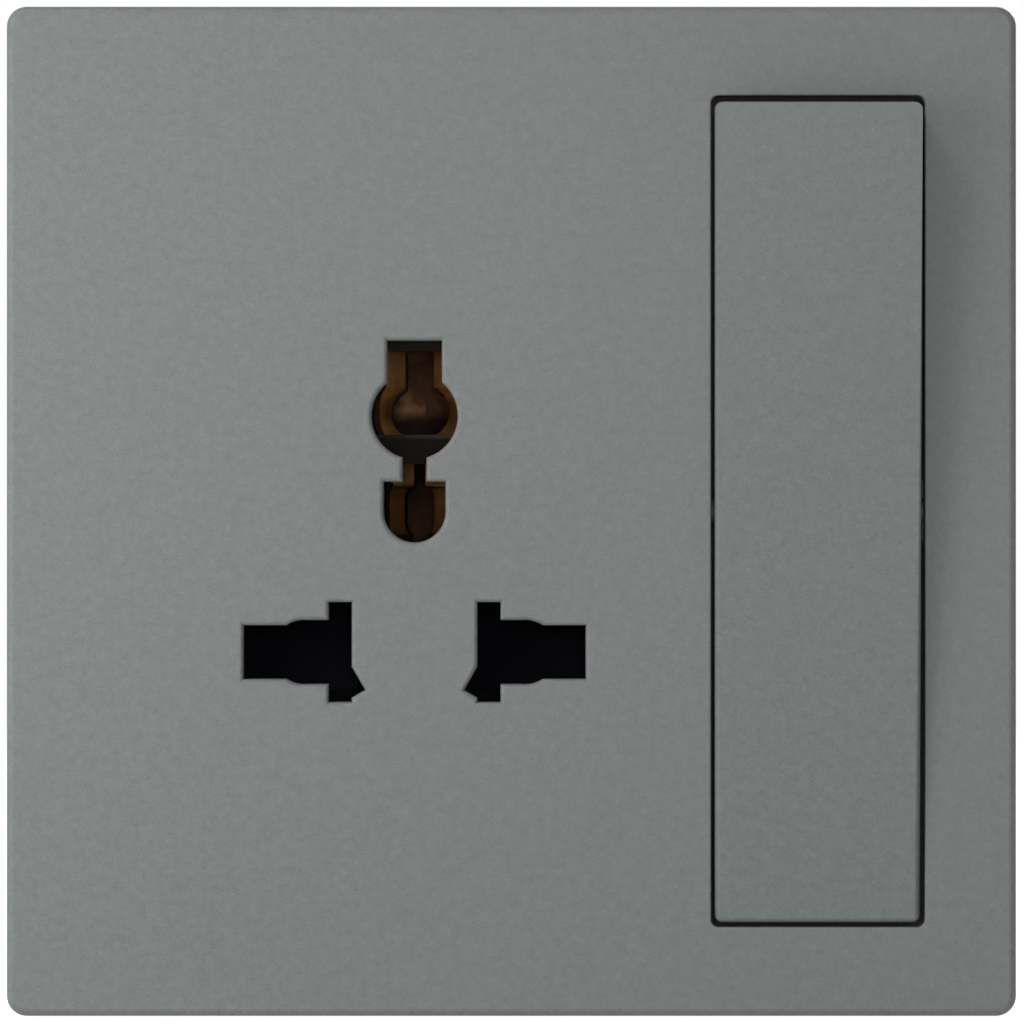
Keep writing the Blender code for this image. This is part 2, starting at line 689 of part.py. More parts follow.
def mounting_frame():
    """Yoke that carries everything: fixing slots, shutter tray, cradles, hooks, ears and posts."""
    finish = plastic("frame_plastic", (0.055, 0.055, 0.055), 0.55)
    outline = rounded_rectangle(FRAME_SIDE, FRAME_SIDE, FRAME_CORNER_R)
    frame = prism("mounting_frame", outline, "Y", FRAME_FRONT, 0, finish)
    weld(frame, block(
        "tray",
        (TRAY_LEFT - TRAY_WALL, -WELD, TRAY_BOTTOM - TRAY_WALL),
        (TRAY_RIGHT + TRAY_WALL, DECK_Y + DECK_THICKNESS, TRAY_TOP + TRAY_WALL),
    ))
    for side_x in (1, -1):
        for side_z in (1, -1):
            place = (side_x * BOSS_X, side_z * BOSS_Z)
            weld(frame, rod("post", place, "Y", POST_R, -WELD, POST_LENGTH))
    cut(frame, block(
        "cutter",
        (TRAY_LEFT, FRAME_FRONT - OVERRUN, TRAY_BOTTOM),
        (TRAY_RIGHT, DECK_Y, TRAY_TOP),
    ))
    for side_x in (1, -1):
        for side_z in (1, -1):
            place = (side_x * BOSS_X, side_z * BOSS_Z)
            start = DECK_Y + DECK_THICKNESS / 2
            cut(frame, rod("cutter", place, "Y", POST_HOLE_R, start, POST_LENGTH + OVERRUN))
            weld(frame, snap_hook(side_x * HOOK_X, side_z))
        cut(frame, prism(
            "cutter",
            slot((side_x * FIXING_PITCH / 2, 0), FIXING_SLOT_LENGTH, FIXING_SLOT_R, ROD_STEPS // 2),
            "Y", FRAME_FRONT - OVERRUN, OVERRUN,
        ))
        cut(frame, *deck_windows(side_x))
    window_bottom = PIN_LINE_Z + EARTH_POCKET_BOTTOM - SHEET - EARTH_WINDOW_MARGIN
    window_top = PIN_LINE_Z + EARTH_THROAT_TOP + EARTH_WINDOW_MARGIN
    cut(frame, block(
        "cutter",
        (EARTH_X - earth_half_width(), FRAME_FRONT - OVERRUN, window_bottom),
        (EARTH_X + earth_half_width(), OVERRUN, window_top),
    ))
    cut(frame, block(
        "cutter",
        (SWITCH_X - ACTUATOR_WIDTH / 2 + WELD / 4, FRAME_FRONT - OVERRUN, PIVOT_Z - TONGUE_WINDOW_HALF),
        (SWITCH_X + ACTUATOR_WIDTH / 2 - WELD / 4, OVERRUN, PIVOT_Z + TONGUE_WINDOW_HALF),
    ))
    for start, end in actuator_ears():
        weld(frame, prism("ear", ear_outline(), "X", start, end))
    ears = actuator_ears()
    hole_start = ears[0][1] - OVERRUN
    hole_end = ears[1][1] + OVERRUN
    hole_r = ACTUATOR_PIN_R + RUNNING_GAP
    cut(frame, rod("cutter", (ACTUATOR_Y, PIVOT_Z), "X", hole_r, hole_start, hole_end))
    for side in (1, -1):
        inner = KEY_X + side * (KEY_WIDTH / 2 + SEAT_GAP)
        outer = inner + side * CRADLE_WIDTH
        weld(frame, prism("cradle", cradle_outline(), "X", inner, outer))
        weld(frame, block(
            "pad",
            (KEY_X - STOP_PAD_WIDTH / 2, FRAME_FRONT - pad_height(), side * STOP_PAD_Z - RIB_THICKNESS),
            (KEY_X + STOP_PAD_WIDTH / 2, FRAME_FRONT + WELD, side * STOP_PAD_Z + RIB_THICKNESS),
        ))
    tidy(frame)
    return frame


def pad_height():
    """Height of the stop pads, up to just behind the pressed end of the key."""
    reach = STOP_PAD_Z + RIB_THICKNESS
    skirt = PIVOT_Y - (KEY_FACE - KEY_SKIRT) * math.cos(KEY_TILT) + reach * math.tan(KEY_TILT)
    return FRAME_FRONT - skirt - SEAT_GAP


def snap_hook(place, side):
    """Hook at the frame's edge that the plate's catch snaps over."""
    edge = PLATE_CAVITY - HOOK_NUB
    top = FRAME_FRONT - HOOK_HEIGHT
    nub = top + (HOOK_HEIGHT - CATCH_HEIGHT - 2 * SEAT_GAP) / 2
    profile = [
        (FRAME_FRONT + WELD, side * (edge - SEAT_GAP)),
        (nub, side * (edge - SEAT_GAP)),
        (nub, side * (edge + SEAT_GAP)),
        (top, side * (edge - SEAT_GAP)),
        (top, side * (edge - HOOK_WALL)),
        (FRAME_FRONT + WELD, side * (edge - HOOK_WALL)),
    ]
    return prism("hook", profile, "X", place - HOOK_WIDTH / 2, place + HOOK_WIDTH / 2)


def earth_half_width():
    """Half the width of the window that the earth contact's lips pass through."""
    return lip_place(EARTH_BULGE_R, EARTH_BULGE_Z) + SHEET + EARTH_WINDOW_MARGIN


def deck_windows(side):
    """Cutters that open the tray's deck over one live contact."""
    half_flat = PIN_GRIP / 2 + EARTH_WINDOW_MARGIN
    windows = []
    for start, end, half in (
        (LEAF_START, SHUTTER_END, half_flat),
        (BLADE_SLOT_X - BLADE_SLOT_WIDTH, LEAF_START + WELD, BLADE_SLOT_HEIGHT / 2),
    ):
        low, high = sorted((SOCKET_X + side * start, SOCKET_X + side * end))
        windows.append(block(
            "cutter",
            (low, DECK_Y - OVERRUN, PIN_LINE_Z - half),
            (high, DECK_Y + DECK_THICKNESS + OVERRUN, PIN_LINE_Z + half),
        ))
    return windows


def ear_outline():
    """Outline of an ear that holds the actuator's pin, in Y and Z."""
    tip = arc((ACTUATOR_Y, PIVOT_Z), EAR_LENGTH, -math.pi / 2, math.pi / 2, ROD_STEPS // 2)
    return [(-WELD, PIVOT_Z + EAR_HALF_HEIGHT), (-WELD, PIVOT_Z - EAR_HALF_HEIGHT)] + tip


def cradle_outline():
    """Outline of a cradle with its open bearing for the key's stub, in Y and Z."""
    front = PIVOT_Y - KEY_STUB_R - RUNNING_GAP
    bearing = KEY_STUB_R + RUNNING_GAP
    seat = arc((PIVOT_Y, PIVOT_Z), bearing, math.pi / 2, -math.pi / 2, ROD_STEPS // 2)
    return [
        (FRAME_FRONT + WELD, PIVOT_Z - CRADLE_HALF_HEIGHT),
        (FRAME_FRONT + WELD, PIVOT_Z + CRADLE_HALF_HEIGHT),
        (front, PIVOT_Z + CRADLE_HALF_HEIGHT),
        (front, PIVOT_Z + bearing),
        *seat,
        (front, PIVOT_Z - bearing),
        (front, PIVOT_Z - CRADLE_HALF_HEIGHT),
    ]


# Shutter


def cover_left():
    """Left side of the shutter's cover."""
    return TRAY_LEFT - COVER_MARGIN


def cover_right():
    """Right side of the shutter's cover."""
    return TRAY_RIGHT + COVER_MARGIN


def cover_bottom():
    """Lower side of the shutter's cover."""
    return TRAY_BOTTOM - COVER_MARGIN


def shutter_cover():
    """Cap over the tray, with apertures a little wider than the plate's."""
    finish = plastic("cover_plastic", (0.012, 0.012, 0.013), 0.5)
    width = cover_right() - cover_left()
    height = COVER_TOP - cover_bottom()
    centre = ((cover_right() + cover_left()) / 2, (COVER_TOP + cover_bottom()) / 2)
    inner_r = COVER_CORNER_R - COVER_THICKNESS * 0.8
    outer = rounded_rectangle(width, height, COVER_CORNER_R, centre)
    inner = rounded_rectangle(width - 2 * COVER_THICKNESS, height - 2 * COVER_THICKNESS, inner_r, centre)
    skirt = FRAME_FRONT - SEAT_GAP
    cover = loft("shutter_cover", [
        placed(outer, "Y", COVER_FRONT),
        placed(outer, "Y", skirt),
        placed(inner, "Y", skirt),
        placed(inner, "Y", COVER_BACK),
    ], finish)
    limit = PIN_LINE_Z + COVER_EARTH_TOP
    for outline in aperture_outlines():
        lowered = [(x, min(z, limit)) for x, z in grown(outline, COVER_APERTURE_MARGIN)]
        cut(cover, prism("cutter", lowered, "Y", COVER_FRONT - OVERRUN, COVER_BACK + OVERRUN))
    weld(cover, cover_bar())
    tidy(cover)
    return cover


def cover_bar():
    """Return the bar that crosses the earth aperture between its round hole and its lower pocket."""
    top = PIN_LINE_Z + COVER_BAR_TOP
    bottom = PIN_LINE_Z + COVER_BAR_BOTTOM
    front = COVER_FRONT + WELD / 4
    profile = [
        (front, bottom),
        (COVER_BACK - WELD / 4, bottom),
        (COVER_BACK - WELD / 4, top),
        (front + COVER_BAR_BEVEL, top),
        (front, top - COVER_BAR_BEVEL),
    ]
    reach = EARTH_HOLE_R + COVER_APERTURE_MARGIN + WELD
    return prism("bar", profile, "X", SOCKET_X - reach, SOCKET_X + reach)


def shutter_slider():
    """Two ramps joined by a bar, pushed down by the live pins."""
    finish = plastic("shutter_plastic", (0.01, 0.01, 0.011), 0.45)
    ramp = [
        (SHUTTER_FRONT, SHUTTER_BOTTOM),
        (SHUTTER_BACK, SHUTTER_BOTTOM),
        (SHUTTER_BACK, SHUTTER_TOP),
        (SHUTTER_BACK - SHUTTER_CREST, SHUTTER_TOP),
        (SHUTTER_FRONT, SHUTTER_BOTTOM + SHUTTER_LIP),
    ]
    slider = prism("shutter_slider", ramp, "X", SOCKET_X + SHUTTER_START, SOCKET_X + SHUTTER_END, finish)
    weld(slider, prism("ramp", ramp, "X", SOCKET_X - SHUTTER_END, SOCKET_X - SHUTTER_START))
    bar_top = SHUTTER_TOP - WELD / 4
    weld(slider, block(
        "bar",
        (SOCKET_X - SHUTTER_START - WELD, SHUTTER_BAR_Y, bar_top - SHUTTER_BAR_HEIGHT),
        (SOCKET_X + SHUTTER_START + WELD, SHUTTER_BACK - WELD / 4, bar_top),
    ))
    tidy(slider)
    return slider


def shutter_spring():
    """Compression spring between the tray's lower wall and the shutter's bar."""
    finish = metal("spring_steel", (0.55, 0.55, 0.56), 0.3)
    low = TRAY_BOTTOM + SEAT_GAP
    high = SHUTTER_TOP - WELD / 4 - SHUTTER_BAR_HEIGHT - SEAT_GAP
    spring = coil(
        "shutter_spring", SHUTTER_SPRING_R, SHUTTER_SPRING_WIRE, high - low, SHUTTER_SPRING_TURNS, finish
    )
    smooth(spring)
    spring.location = (SOCKET_X, (SHUTTER_BAR_Y + SHUTTER_BACK) / 2, low)
    return spring


# Switch mechanism


def actuator_pivot():
    """Return the empty that carries the actuator, turned to the side that the tongue holds it at."""
    pivot = bpy.data.objects.new("actuator_pivot", None)
    bpy.context.scene.collection.objects.link(pivot)
    pivot.location = (SWITCH_X, ACTUATOR_Y, PIVOT_Z)
    pivot.rotation_euler.x = -KEY_TILT * LEVER_RATIO
    return pivot


def actuator(pivot):
    """Lever with a fork for the tongue in front and a square barrel for the plunger behind."""
    finish = plastic("actuator_plastic", (0.62, 0.60, 0.55), 0.5)
    half = ACTUATOR_WIDTH / 2
    lever = rod("actuator", (0, 0), "X", ACTUATOR_HUB_R, -half, half, finish)
    side = BARREL_SIDE / 2
    weld(lever, block("barrel", (-side, 0, -side), (side, BARREL_END, side)))
    slot_half = TONGUE_NOSE_R + FORK_GAP
    for hand in (1, -1):
        low, high = sorted((hand * slot_half, hand * (slot_half + PRONG_THICKNESS)))
        prong_half = TONGUE_WIDTH / 2 + WELD
        prong_end = -FORK_REACH - TONGUE_NOSE_R - FORK_GAP
        weld(lever, block("prong", (-prong_half, prong_end, low), (prong_half, 0, high)))
    mouth = ACTUATOR_PIN_R + TONGUE_NOSE_R / 4
    cut(lever, block("cutter", (-half - OVERRUN, -FORK_REACH - OVERRUN, -slot_half), (
        half + OVERRUN, -mouth, slot_half
    )))
    bore_r = ACTUATOR_PIN_R + 2 * RUNNING_GAP
    cut(lever, rod("cutter", (0, 0), "X", bore_r, -half - OVERRUN, half + OVERRUN))
    guide_r = PLUNGER_R + PLUNGER_GAP
    cut(lever, rod("cutter", (0, 0), "Y", guide_r, BARREL_FLOOR, BARREL_END + OVERRUN))
    tidy(lever)
    lever.parent = pivot
    return lever


def actuator_pin():
    """Pin through both ears and the actuator's hub."""
    finish = metal("pin_steel", (0.6, 0.6, 0.61), 0.3)
    ears = actuator_ears()
    pin = rod("actuator_pin", (ACTUATOR_Y, PIVOT_Z), "X", ACTUATOR_PIN_R, ears[0][1], ears[1][1], finish)
    smooth(pin)
    return pin


def plunger(pivot):
    """Round-nosed plunger that slides in the actuator's barrel."""
    finish = plastic("plunger_plastic", (0.75, 0.73, 0.68), 0.4)
    centre = PLUNGER_TIP - PLUNGER_R
    profile = [(PLUNGER_TAIL, PLUNGER_R)]
    for i in range(EDGE_STEPS):
        turn = math.pi / 2 * i / EDGE_STEPS
        profile.append((centre + PLUNGER_R * math.sin(turn), PLUNGER_R * math.cos(turn)))
    profile.append((PLUNGER_TIP, PLUNGER_R / 8))
    nose = turned("plunger", (0, 0), "Y", profile, finish)
    smooth(nose)
    nose.parent = pivot
    return nose


def plunger_spring(pivot):
    """Spring between the barrel's floor and the plunger."""
    finish = metal("plunger_spring_steel", (0.55, 0.55, 0.56), 0.3)
    reach = PLUNGER_TAIL - BARREL_FLOOR - 2 * PLUNGER_GAP
    radius = PLUNGER_R - PLUNGER_SPRING_WIRE / 2
    spring = coil("plunger_spring", radius, PLUNGER_SPRING_WIRE, reach, PLUNGER_SPRING_TURNS, finish)
    smooth(spring)
    spring.parent = pivot
    spring.location.y = BARREL_FLOOR + PLUNGER_GAP
    spring.rotation_euler.x = -math.pi / 2
    return spring


def seesaw_pivot():
    """Return the empty on the fulcrum's edge that carries the moving contact."""
    pivot = bpy.data.objects.new("seesaw_pivot", None)
    bpy.context.scene.collection.objects.link(pivot)
    pivot.location = (SWITCH_X, SEESAW_Y, PIVOT_Z)
    pivot.rotation_euler.x = SEESAW_TILT
    return pivot


def moving_contact(pivot):
    """See-saw strip with a groove that rocks on the fulcrum and a hole for its silver tip."""
    finish = metal("seesaw_copper", (0.72, 0.38, 0.2), 0.3)
    back = -SEESAW_AXIS_SETBACK
    front = back - SEESAW_THICKNESS
    outline = rounded_rectangle(SEESAW_WIDTH, 2 * SEESAW_HALF_LENGTH, SEESAW_WIDTH / 4)
    strip = prism("moving_contact", outline, "Y", front, back, finish)
    groove_r = FULCRUM_R + SEAT_GAP
    reach = SEESAW_WIDTH / 2 + OVERRUN
    cut(strip, rod("cutter", (0, 0), "X", groove_r, -reach, reach))
    cut(strip, rod("cutter", (0, -TIP_Z), "Y", TIP_HOLE_R, front - OVERRUN, back + OVERRUN))
    tidy(strip)
    strip.parent = pivot
    return strip


def contact_tip(name, level, face, back):
    """Silver rivet whose head lies between two levels and whose shank fills its hole."""
    finish = metal(name + "_silver", (0.86, 0.86, 0.85), 0.2)
    direction = 1 if face > back else -1
    dome = TIP_THICKNESS / 4 * direction
    shank_end = back - direction * (SEAT_GAP + STRIP_THICKNESS * 0.9)
    tip = turned(name, (0, level), "Y", [
        (shank_end, TIP_SHANK_R),
        (back, TIP_SHANK_R),
        (back, TIP_R),
        (face - dome, TIP_R),
        (face, TIP_R * 0.75),
    ], finish)
    smooth(tip)
    return tip


def moving_contact_tip(pivot):
    """Silver tip on the lower end of the see-saw."""
    back = -SEESAW_AXIS_SETBACK + SEAT_GAP
    tip = contact_tip("moving_contact_tip", -TIP_Z, back + TIP_THICKNESS, back)
    tip.parent = pivot
    return tip


def fixed_contact_tip():
    """Silver tip that the see-saw closes on."""
    tip = contact_tip("fixed_contact_tip", 0, FIXED_TIP_Y, FIXED_TIP_Y + STRIP_THICKNESS)
    tip.location = (SWITCH_X, 0, PIVOT_Z - TIP_Z)
    return tip


def fixed_strip_y():
    """Front of the strip that holds the fixed tip."""
    return FIXED_TIP_Y + STRIP_THICKNESS + SEAT_GAP


def fixed_contact():
    """Strip from the fixed tip down to the line terminal, with one joggle."""
    finish = metal("fixed_contact_copper", (0.72, 0.38, 0.2), 0.3)
    high = fixed_strip_y() + STRIP_THICKNESS / 2
    low = WEB_BACK - STRIP_THICKNESS / 2
    tip_z = PIVOT_Z - TIP_Z
    fold = tip_z - FIXED_STRIP_DROP
    path = [
        (high, tip_z + 2 * TIP_R),
        (high, fold),
        (low, fold - (high - low)),
        (low, LINE_TERMINAL_Z - TERMINAL_SIDE / 2),
    ]
    half = SEESAW_WIDTH / 2
    strip = prism("fixed_contact", band(path, STRIP_THICKNESS), "X", SWITCH_X - half, SWITCH_X + half, finish)
    hole = (SWITCH_X, tip_z)
    cut(strip, rod("cutter", hole, "Y", TIP_HOLE_R, FIXED_TIP_Y, high + OVERRUN))
    tidy(strip)
    return strip


def fulcrum_strip():
    """Bar from the line contact's tail to the switch, with the edge that the see-saw rocks on."""
    finish = metal("fulcrum_copper", (0.72, 0.38, 0.2), 0.3)
    front = WEB_BACK + SEAT_GAP
    half = SEESAW_WIDTH / 2
    right = SWITCH_X + half
    left = line_tail()[0]
    bar = block(
        "fulcrum_strip",
        (left, front, PIVOT_Z - STRIP_HALF_HEIGHT),
        (right, front + STRIP_THICKNESS, PIVOT_Z + STRIP_HALF_HEIGHT),
        finish,
    )
    edge = arc((SEESAW_Y, PIVOT_Z), FULCRUM_R, math.pi / 2, 3 * math.pi / 2, EDGE_STEPS)
    edge += [(front + WELD, PIVOT_Z - FULCRUM_R), (front + WELD, PIVOT_Z + FULCRUM_R)]
    weld(bar, prism("edge", edge, "X", SWITCH_X - half + WELD / 4, right - WELD / 4))
    tidy(bar)
    return bar


# Pin contacts


def line_tail():
    """Return the X limits of the line contact's tail."""
    right = SOCKET_X + LEAF_END
    return right - TAIL_WIDTH, right


def leaf_path(side):
    """Middle of one leaf that grips flat and round pins, in Y and Z."""
    middle = (PIN_GRIP + SHEET) / 2
    points = [
        (MOUTH_Y, middle + MOUTH_FLARE),
        (PINCH_Y, middle - PIN_PINCH),
        (PINCH_Y + 2 * PIN_PINCH + MOUTH_FLARE, middle),
        (WEB_Y + SHEET / 2, middle),
    ]
    return [(y, PIN_LINE_Z + side * z) for y, z in points]


def live_contact(name, side, tail, tail_top):
    """Folded contact for one live pin: a web with two flat leaves, one blade leaf and a tail."""
    finish = metal(name + "_brass", (0.78, 0.57, 0.25), 0.28)
    low, high = sorted((SOCKET_X + side * (BLADE_LEAF_X - SHEET / 2), SOCKET_X + side * LEAF_END))
    bottom, top = PIN_LINE_Z - WEB_HALF_HEIGHT, PIN_LINE_Z + WEB_HALF_HEIGHT
    contact = block(name, (low, WEB_Y, bottom), (high, WEB_BACK, top), finish)
    weld(contact, block("tail", (tail[0], WEB_Y, PIN_LINE_Z), (tail[1], WEB_BACK, tail_top)))
    start, end = sorted((SOCKET_X + side * LEAF_START, SOCKET_X + side * (LEAF_END - SHEET / 4)))
    for leaf_side in (1, -1):
        weld(contact, prism("leaf", band(leaf_path(leaf_side), SHEET), "X", start, end))
    blade = [
        (SOCKET_X + side * (BLADE_LEAF_X + a), y)
        for a, y in (
            (-MOUTH_FLARE, MOUTH_Y),
            (PIN_PINCH, PINCH_Y),
            (SHEET / 4, PINCH_Y + MOUTH_FLARE + 2 * PIN_PINCH),
            (SHEET / 4, WEB_Y + SHEET / 2),
        )
    ]
    half = min(BLADE_LEAF_HALF, WEB_HALF_HEIGHT - SHEET / 4)
    weld(contact, prism("leaf", band(blade, SHEET), "Z", PIN_LINE_Z - half, PIN_LINE_Z + half))
    tidy(contact)
    return contact


def line_contact():
    """Contact on the right, joined to the switch."""
    return live_contact("line_contact", 1, line_tail(), PIVOT_Z + STRIP_HALF_HEIGHT)


def neutral_contact():
    """Contact on the left, whose tail runs up to its terminal."""
    half = TAIL_WIDTH / 2
    tail = (NEUTRAL_TERMINAL_X - half, NEUTRAL_TERMINAL_X + half)
    return live_contact("neutral_contact", -1, tail, TERMINAL_ROW_Z + TERMINAL_SIDE / 2)


def lip_place(x, z):
    """Return how far from the middle the lip stands in front of a point of the jaw."""
    return x * EARTH_LIP_SLOPE + (EARTH_LIP_HALF if z > EARTH_POCKET_TOP else EARTH_LOWER_LIP_HALF)


def jaw_outline(side, at_lips):
    """Section of one earth jaw, which bulges round the pins, at its lips or behind them."""
    join = math.asin(EARTH_THROAT_HALF / EARTH_BULGE_R)
    waist = math.asin(EARTH_WAIST_HALF / EARTH_BULGE_R)
    points = [(EARTH_THROAT_HALF, EARTH_THROAT_TOP)]
    points += [
        (x, z) for x, z in arc(
            (0, EARTH_BULGE_Z), EARTH_BULGE_R, math.pi / 2 - join, waist - math.pi / 2, EDGE_STEPS + 2
        )
    ]
    pocket = EARTH_POCKET_HALF
    points += [
        (EARTH_WAIST_HALF, EARTH_POCKET_TOP),
        (pocket, EARTH_POCKET_TOP - pocket),
        (pocket, EARTH_POCKET_BOTTOM + pocket),
        (EARTH_WAIST_HALF, EARTH_POCKET_BOTTOM),
    ]
    middle = [((lip_place(x, z) if at_lips else x) + SHEET / 2, z) for x, z in points]
    return [(EARTH_X + side * x, PIN_LINE_Z + z) for x, z in band(middle, SHEET)]


def earth_contact():
    """Folded contact for the earth pin: two shaped jaws with flared lips, a web and a tail."""
    finish = metal("earth_contact_brass", (0.78, 0.57, 0.25), 0.3)
    half = EARTH_BULGE_R + SHEET
    low = PIN_LINE_Z + EARTH_POCKET_BOTTOM - SHEET
    high = PIN_LINE_Z + EARTH_THROAT_TOP + SHEET
    contact = block("earth_contact", (EARTH_X - half, WEB_Y, low), (EARTH_X + half, WEB_BACK, high), finish)
    tail_half = TAIL_WIDTH / 2
    weld(contact, block(
        "tail",
        (SOCKET_X - tail_half, WEB_Y, high - WELD),
        (SOCKET_X + tail_half, WEB_BACK, TERMINAL_ROW_Z + TERMINAL_SIDE / 2),
    ))
    for side in (1, -1):
        weld(contact, loft("jaw", [
            placed(jaw_outline(side, True), "Y", EARTH_LIP_Y),
            placed(jaw_outline(side, False), "Y", EARTH_THROAT_Y),
            placed(jaw_outline(side, False), "Y", WEB_Y + SHEET / 2),
        ]))
    tidy(contact)
    return contact


# Terminals and screws


def terminal(name, x, z):
    """Brass terminal block with a wire hole along Z and a tapped hole from behind."""
    finish = metal(name + "_brass", (0.76, 0.56, 0.26), 0.32)
    half = TERMINAL_SIDE / 2
    shape = bmesh.new()
    bmesh.ops.create_cube(shape, size=1)
    bmesh.ops.scale(shape, vec=(TERMINAL_SIDE, TERMINAL_DEPTH, TERMINAL_SIDE), verts=shape.verts)
    bmesh.ops.translate(shape, vec=(x, (TERMINAL_FRONT + TERMINAL_BACK) / 2, z), verts=shape.verts)
    bmesh.ops.bevel(
        shape, geom=shape.edges[:], offset=TERMINAL_BEVEL, segments=1, affect="EDGES", profile=0.5
    )
    body = new_object(name, shape, finish)
    wire_y = TERMINAL_FRONT + WIRE_HOLE_DEPTH
    cut(body, rod("cutter", (x, wire_y), "Z", WIRE_HOLE_R, z - half - OVERRUN, z + half + OVERRUN))
    screw_r = TERMINAL_SCREW_R + 2 * RUNNING_GAP
    cut(body, rod("cutter", (x, z), "Y", screw_r, wire_y, TERMINAL_BACK + OVERRUN))
    tidy(body)
    return body


def screw(name, place, radius, tip, seat, cross):
    """Slotted or cross-slotted screw whose head faces the back."""
    finish = metal(name + "_steel", (0.62, 0.62, 0.6), 0.28)
    top = seat + SCREW_HEAD_HEIGHT
    made = turned(name, place, "Y", [
        (tip, radius * 0.6),
        (tip + radius * 0.4, radius),
        (seat, radius),
        (seat, SCREW_HEAD_R),
        (top - SCREW_HEAD_HEIGHT / 3, SCREW_HEAD_R),
        (top, SCREW_HEAD_R * 0.75),
    ], finish)
    half = SCREW_SLOT_WIDTH / 2
    reach = SCREW_HEAD_R * (0.5 if cross else 1.5)
    floor = top - SCREW_HEAD_HEIGHT / 2
    x, z = place
    cut(made, block("cutter", (x - reach, floor, z - half), (x + reach, top + OVERRUN, z + half)))
    if cross:
        cut(made, block("cutter", (x - half, floor, z - reach), (x + half, top + OVERRUN, z + reach)))
    tidy(made)
    return made


def terminals():
    """Build the three terminals, each with its screw."""
    places = {
        "line": (LINE_TERMINAL_X, LINE_TERMINAL_Z),
        "neutral": (NEUTRAL_TERMINAL_X, TERMINAL_ROW_Z),
        "earth": (SOCKET_X, TERMINAL_ROW_Z),
    }
    tip = TERMINAL_FRONT + WIRE_HOLE_DEPTH + WIRE_HOLE_R / 2
    for name, (x, z) in places.items():
        terminal(name + "_terminal", x, z)
        screw(name + "_terminal_screw", (x, z), TERMINAL_SCREW_R, tip, TERMINAL_BACK + SEAT_GAP, False)
    return places


def housing_screws():
    """Build the four long screws that hold the housing to the frame."""
    seat = HOUSING_DEPTH - HOUSING_SCREW_SINK + SEAT_GAP / 3
    number = 1
    for side_z in (1, -1):
        for side_x in (-1, 1):
            place = (side_x * BOSS_X, side_z * BOSS_Z)
            screw(f"housing_screw_{number}", place, HOUSING_SCREW_R, HOUSING_SCREW_START, seat, True)
            number += 1


# Rear housing


def housing_outline(inset):
    """Outline of the housing, notched beside the wall box's lugs, moved inwards by an inset."""
    wide = HOUSING_HALF_WIDTH - inset
    high = HOUSING_HALF_HEIGHT - inset
    notch = LUG_NOTCH_X - inset
    step = LUG_NOTCH_HALF + inset
    trim = HOUSING_CORNER
    right = [
        (wide - trim, -high), (wide, -high + trim), (wide, -step), (notch, -step),
        (notch, step), (wide, step), (wide, high - trim), (wide - trim, high),
    ]
    return right + [(-x, -z) for x, z in right]


def rear_housing(places):
    """Back shell with seats for the contacts, terminal wells, cable holes and screw bosses."""
    finish = plastic("housing_plastic", (0.72, 0.71, 0.68), 0.5)
    chamfer = HOUSING_BACK_CHAMFER
    housing = loft("rear_housing", [
        placed(housing_outline(chamfer), "Y", HOUSING_DEPTH),
        placed(housing_outline(0), "Y", HOUSING_DEPTH - chamfer),
        placed(housing_outline(0), "Y", SEAT_GAP),
        placed(housing_outline(HOUSING_WALL), "Y", SEAT_GAP),
        placed(housing_outline(HOUSING_WALL), "Y", BACK_INNER),
    ], finish)
    deep = BACK_INNER + WELD
    bosses = [(sx * BOSS_X, sz * BOSS_Z) for sx in (-1, 1) for sz in (-1, 1)]
    for place in bosses:
        weld(housing, rod("boss", place, "Y", BOSS_R, POST_LENGTH + SEAT_GAP, deep))
    well_front = TERMINAL_BACK + SEAT_GAP
    for place in places.values():
        weld(housing, rod("well", place, "Y", WELL_R + WELL_WALL, well_front, deep))
    for low, high in seats():
        weld(housing, block("seat", low, (high[0], deep, high[1])))
    for place in bosses:
        head_seat = HOUSING_DEPTH - HOUSING_SCREW_SINK
        hole_r = HOUSING_SCREW_R + SCREW_CLEARANCE
        cut(housing, rod("cutter", place, "Y", hole_r, POST_LENGTH, HOUSING_DEPTH))
        head_r = SCREW_HEAD_R + SCREW_CLEARANCE
        cut(housing, rod("cutter", place, "Y", head_r, head_seat, HOUSING_DEPTH + OVERRUN))
    wire_y = TERMINAL_FRONT + WIRE_HOLE_DEPTH
    for x, z in places.values():
        cut(housing, rod("cutter", (x, z), "Y", WELL_R, well_front - OVERRUN, HOUSING_DEPTH + OVERRUN))
        inner = HOUSING_HALF_HEIGHT - HOUSING_WALL - OVERRUN
        outer = HOUSING_HALF_HEIGHT + OVERRUN
        start, end = sorted((math.copysign(inner, z), math.copysign(outer, z)))
        cut(housing, rod("cutter", (x, wire_y), "Z", CABLE_HOLE_R, start, end))
    tidy(housing)
    return housing


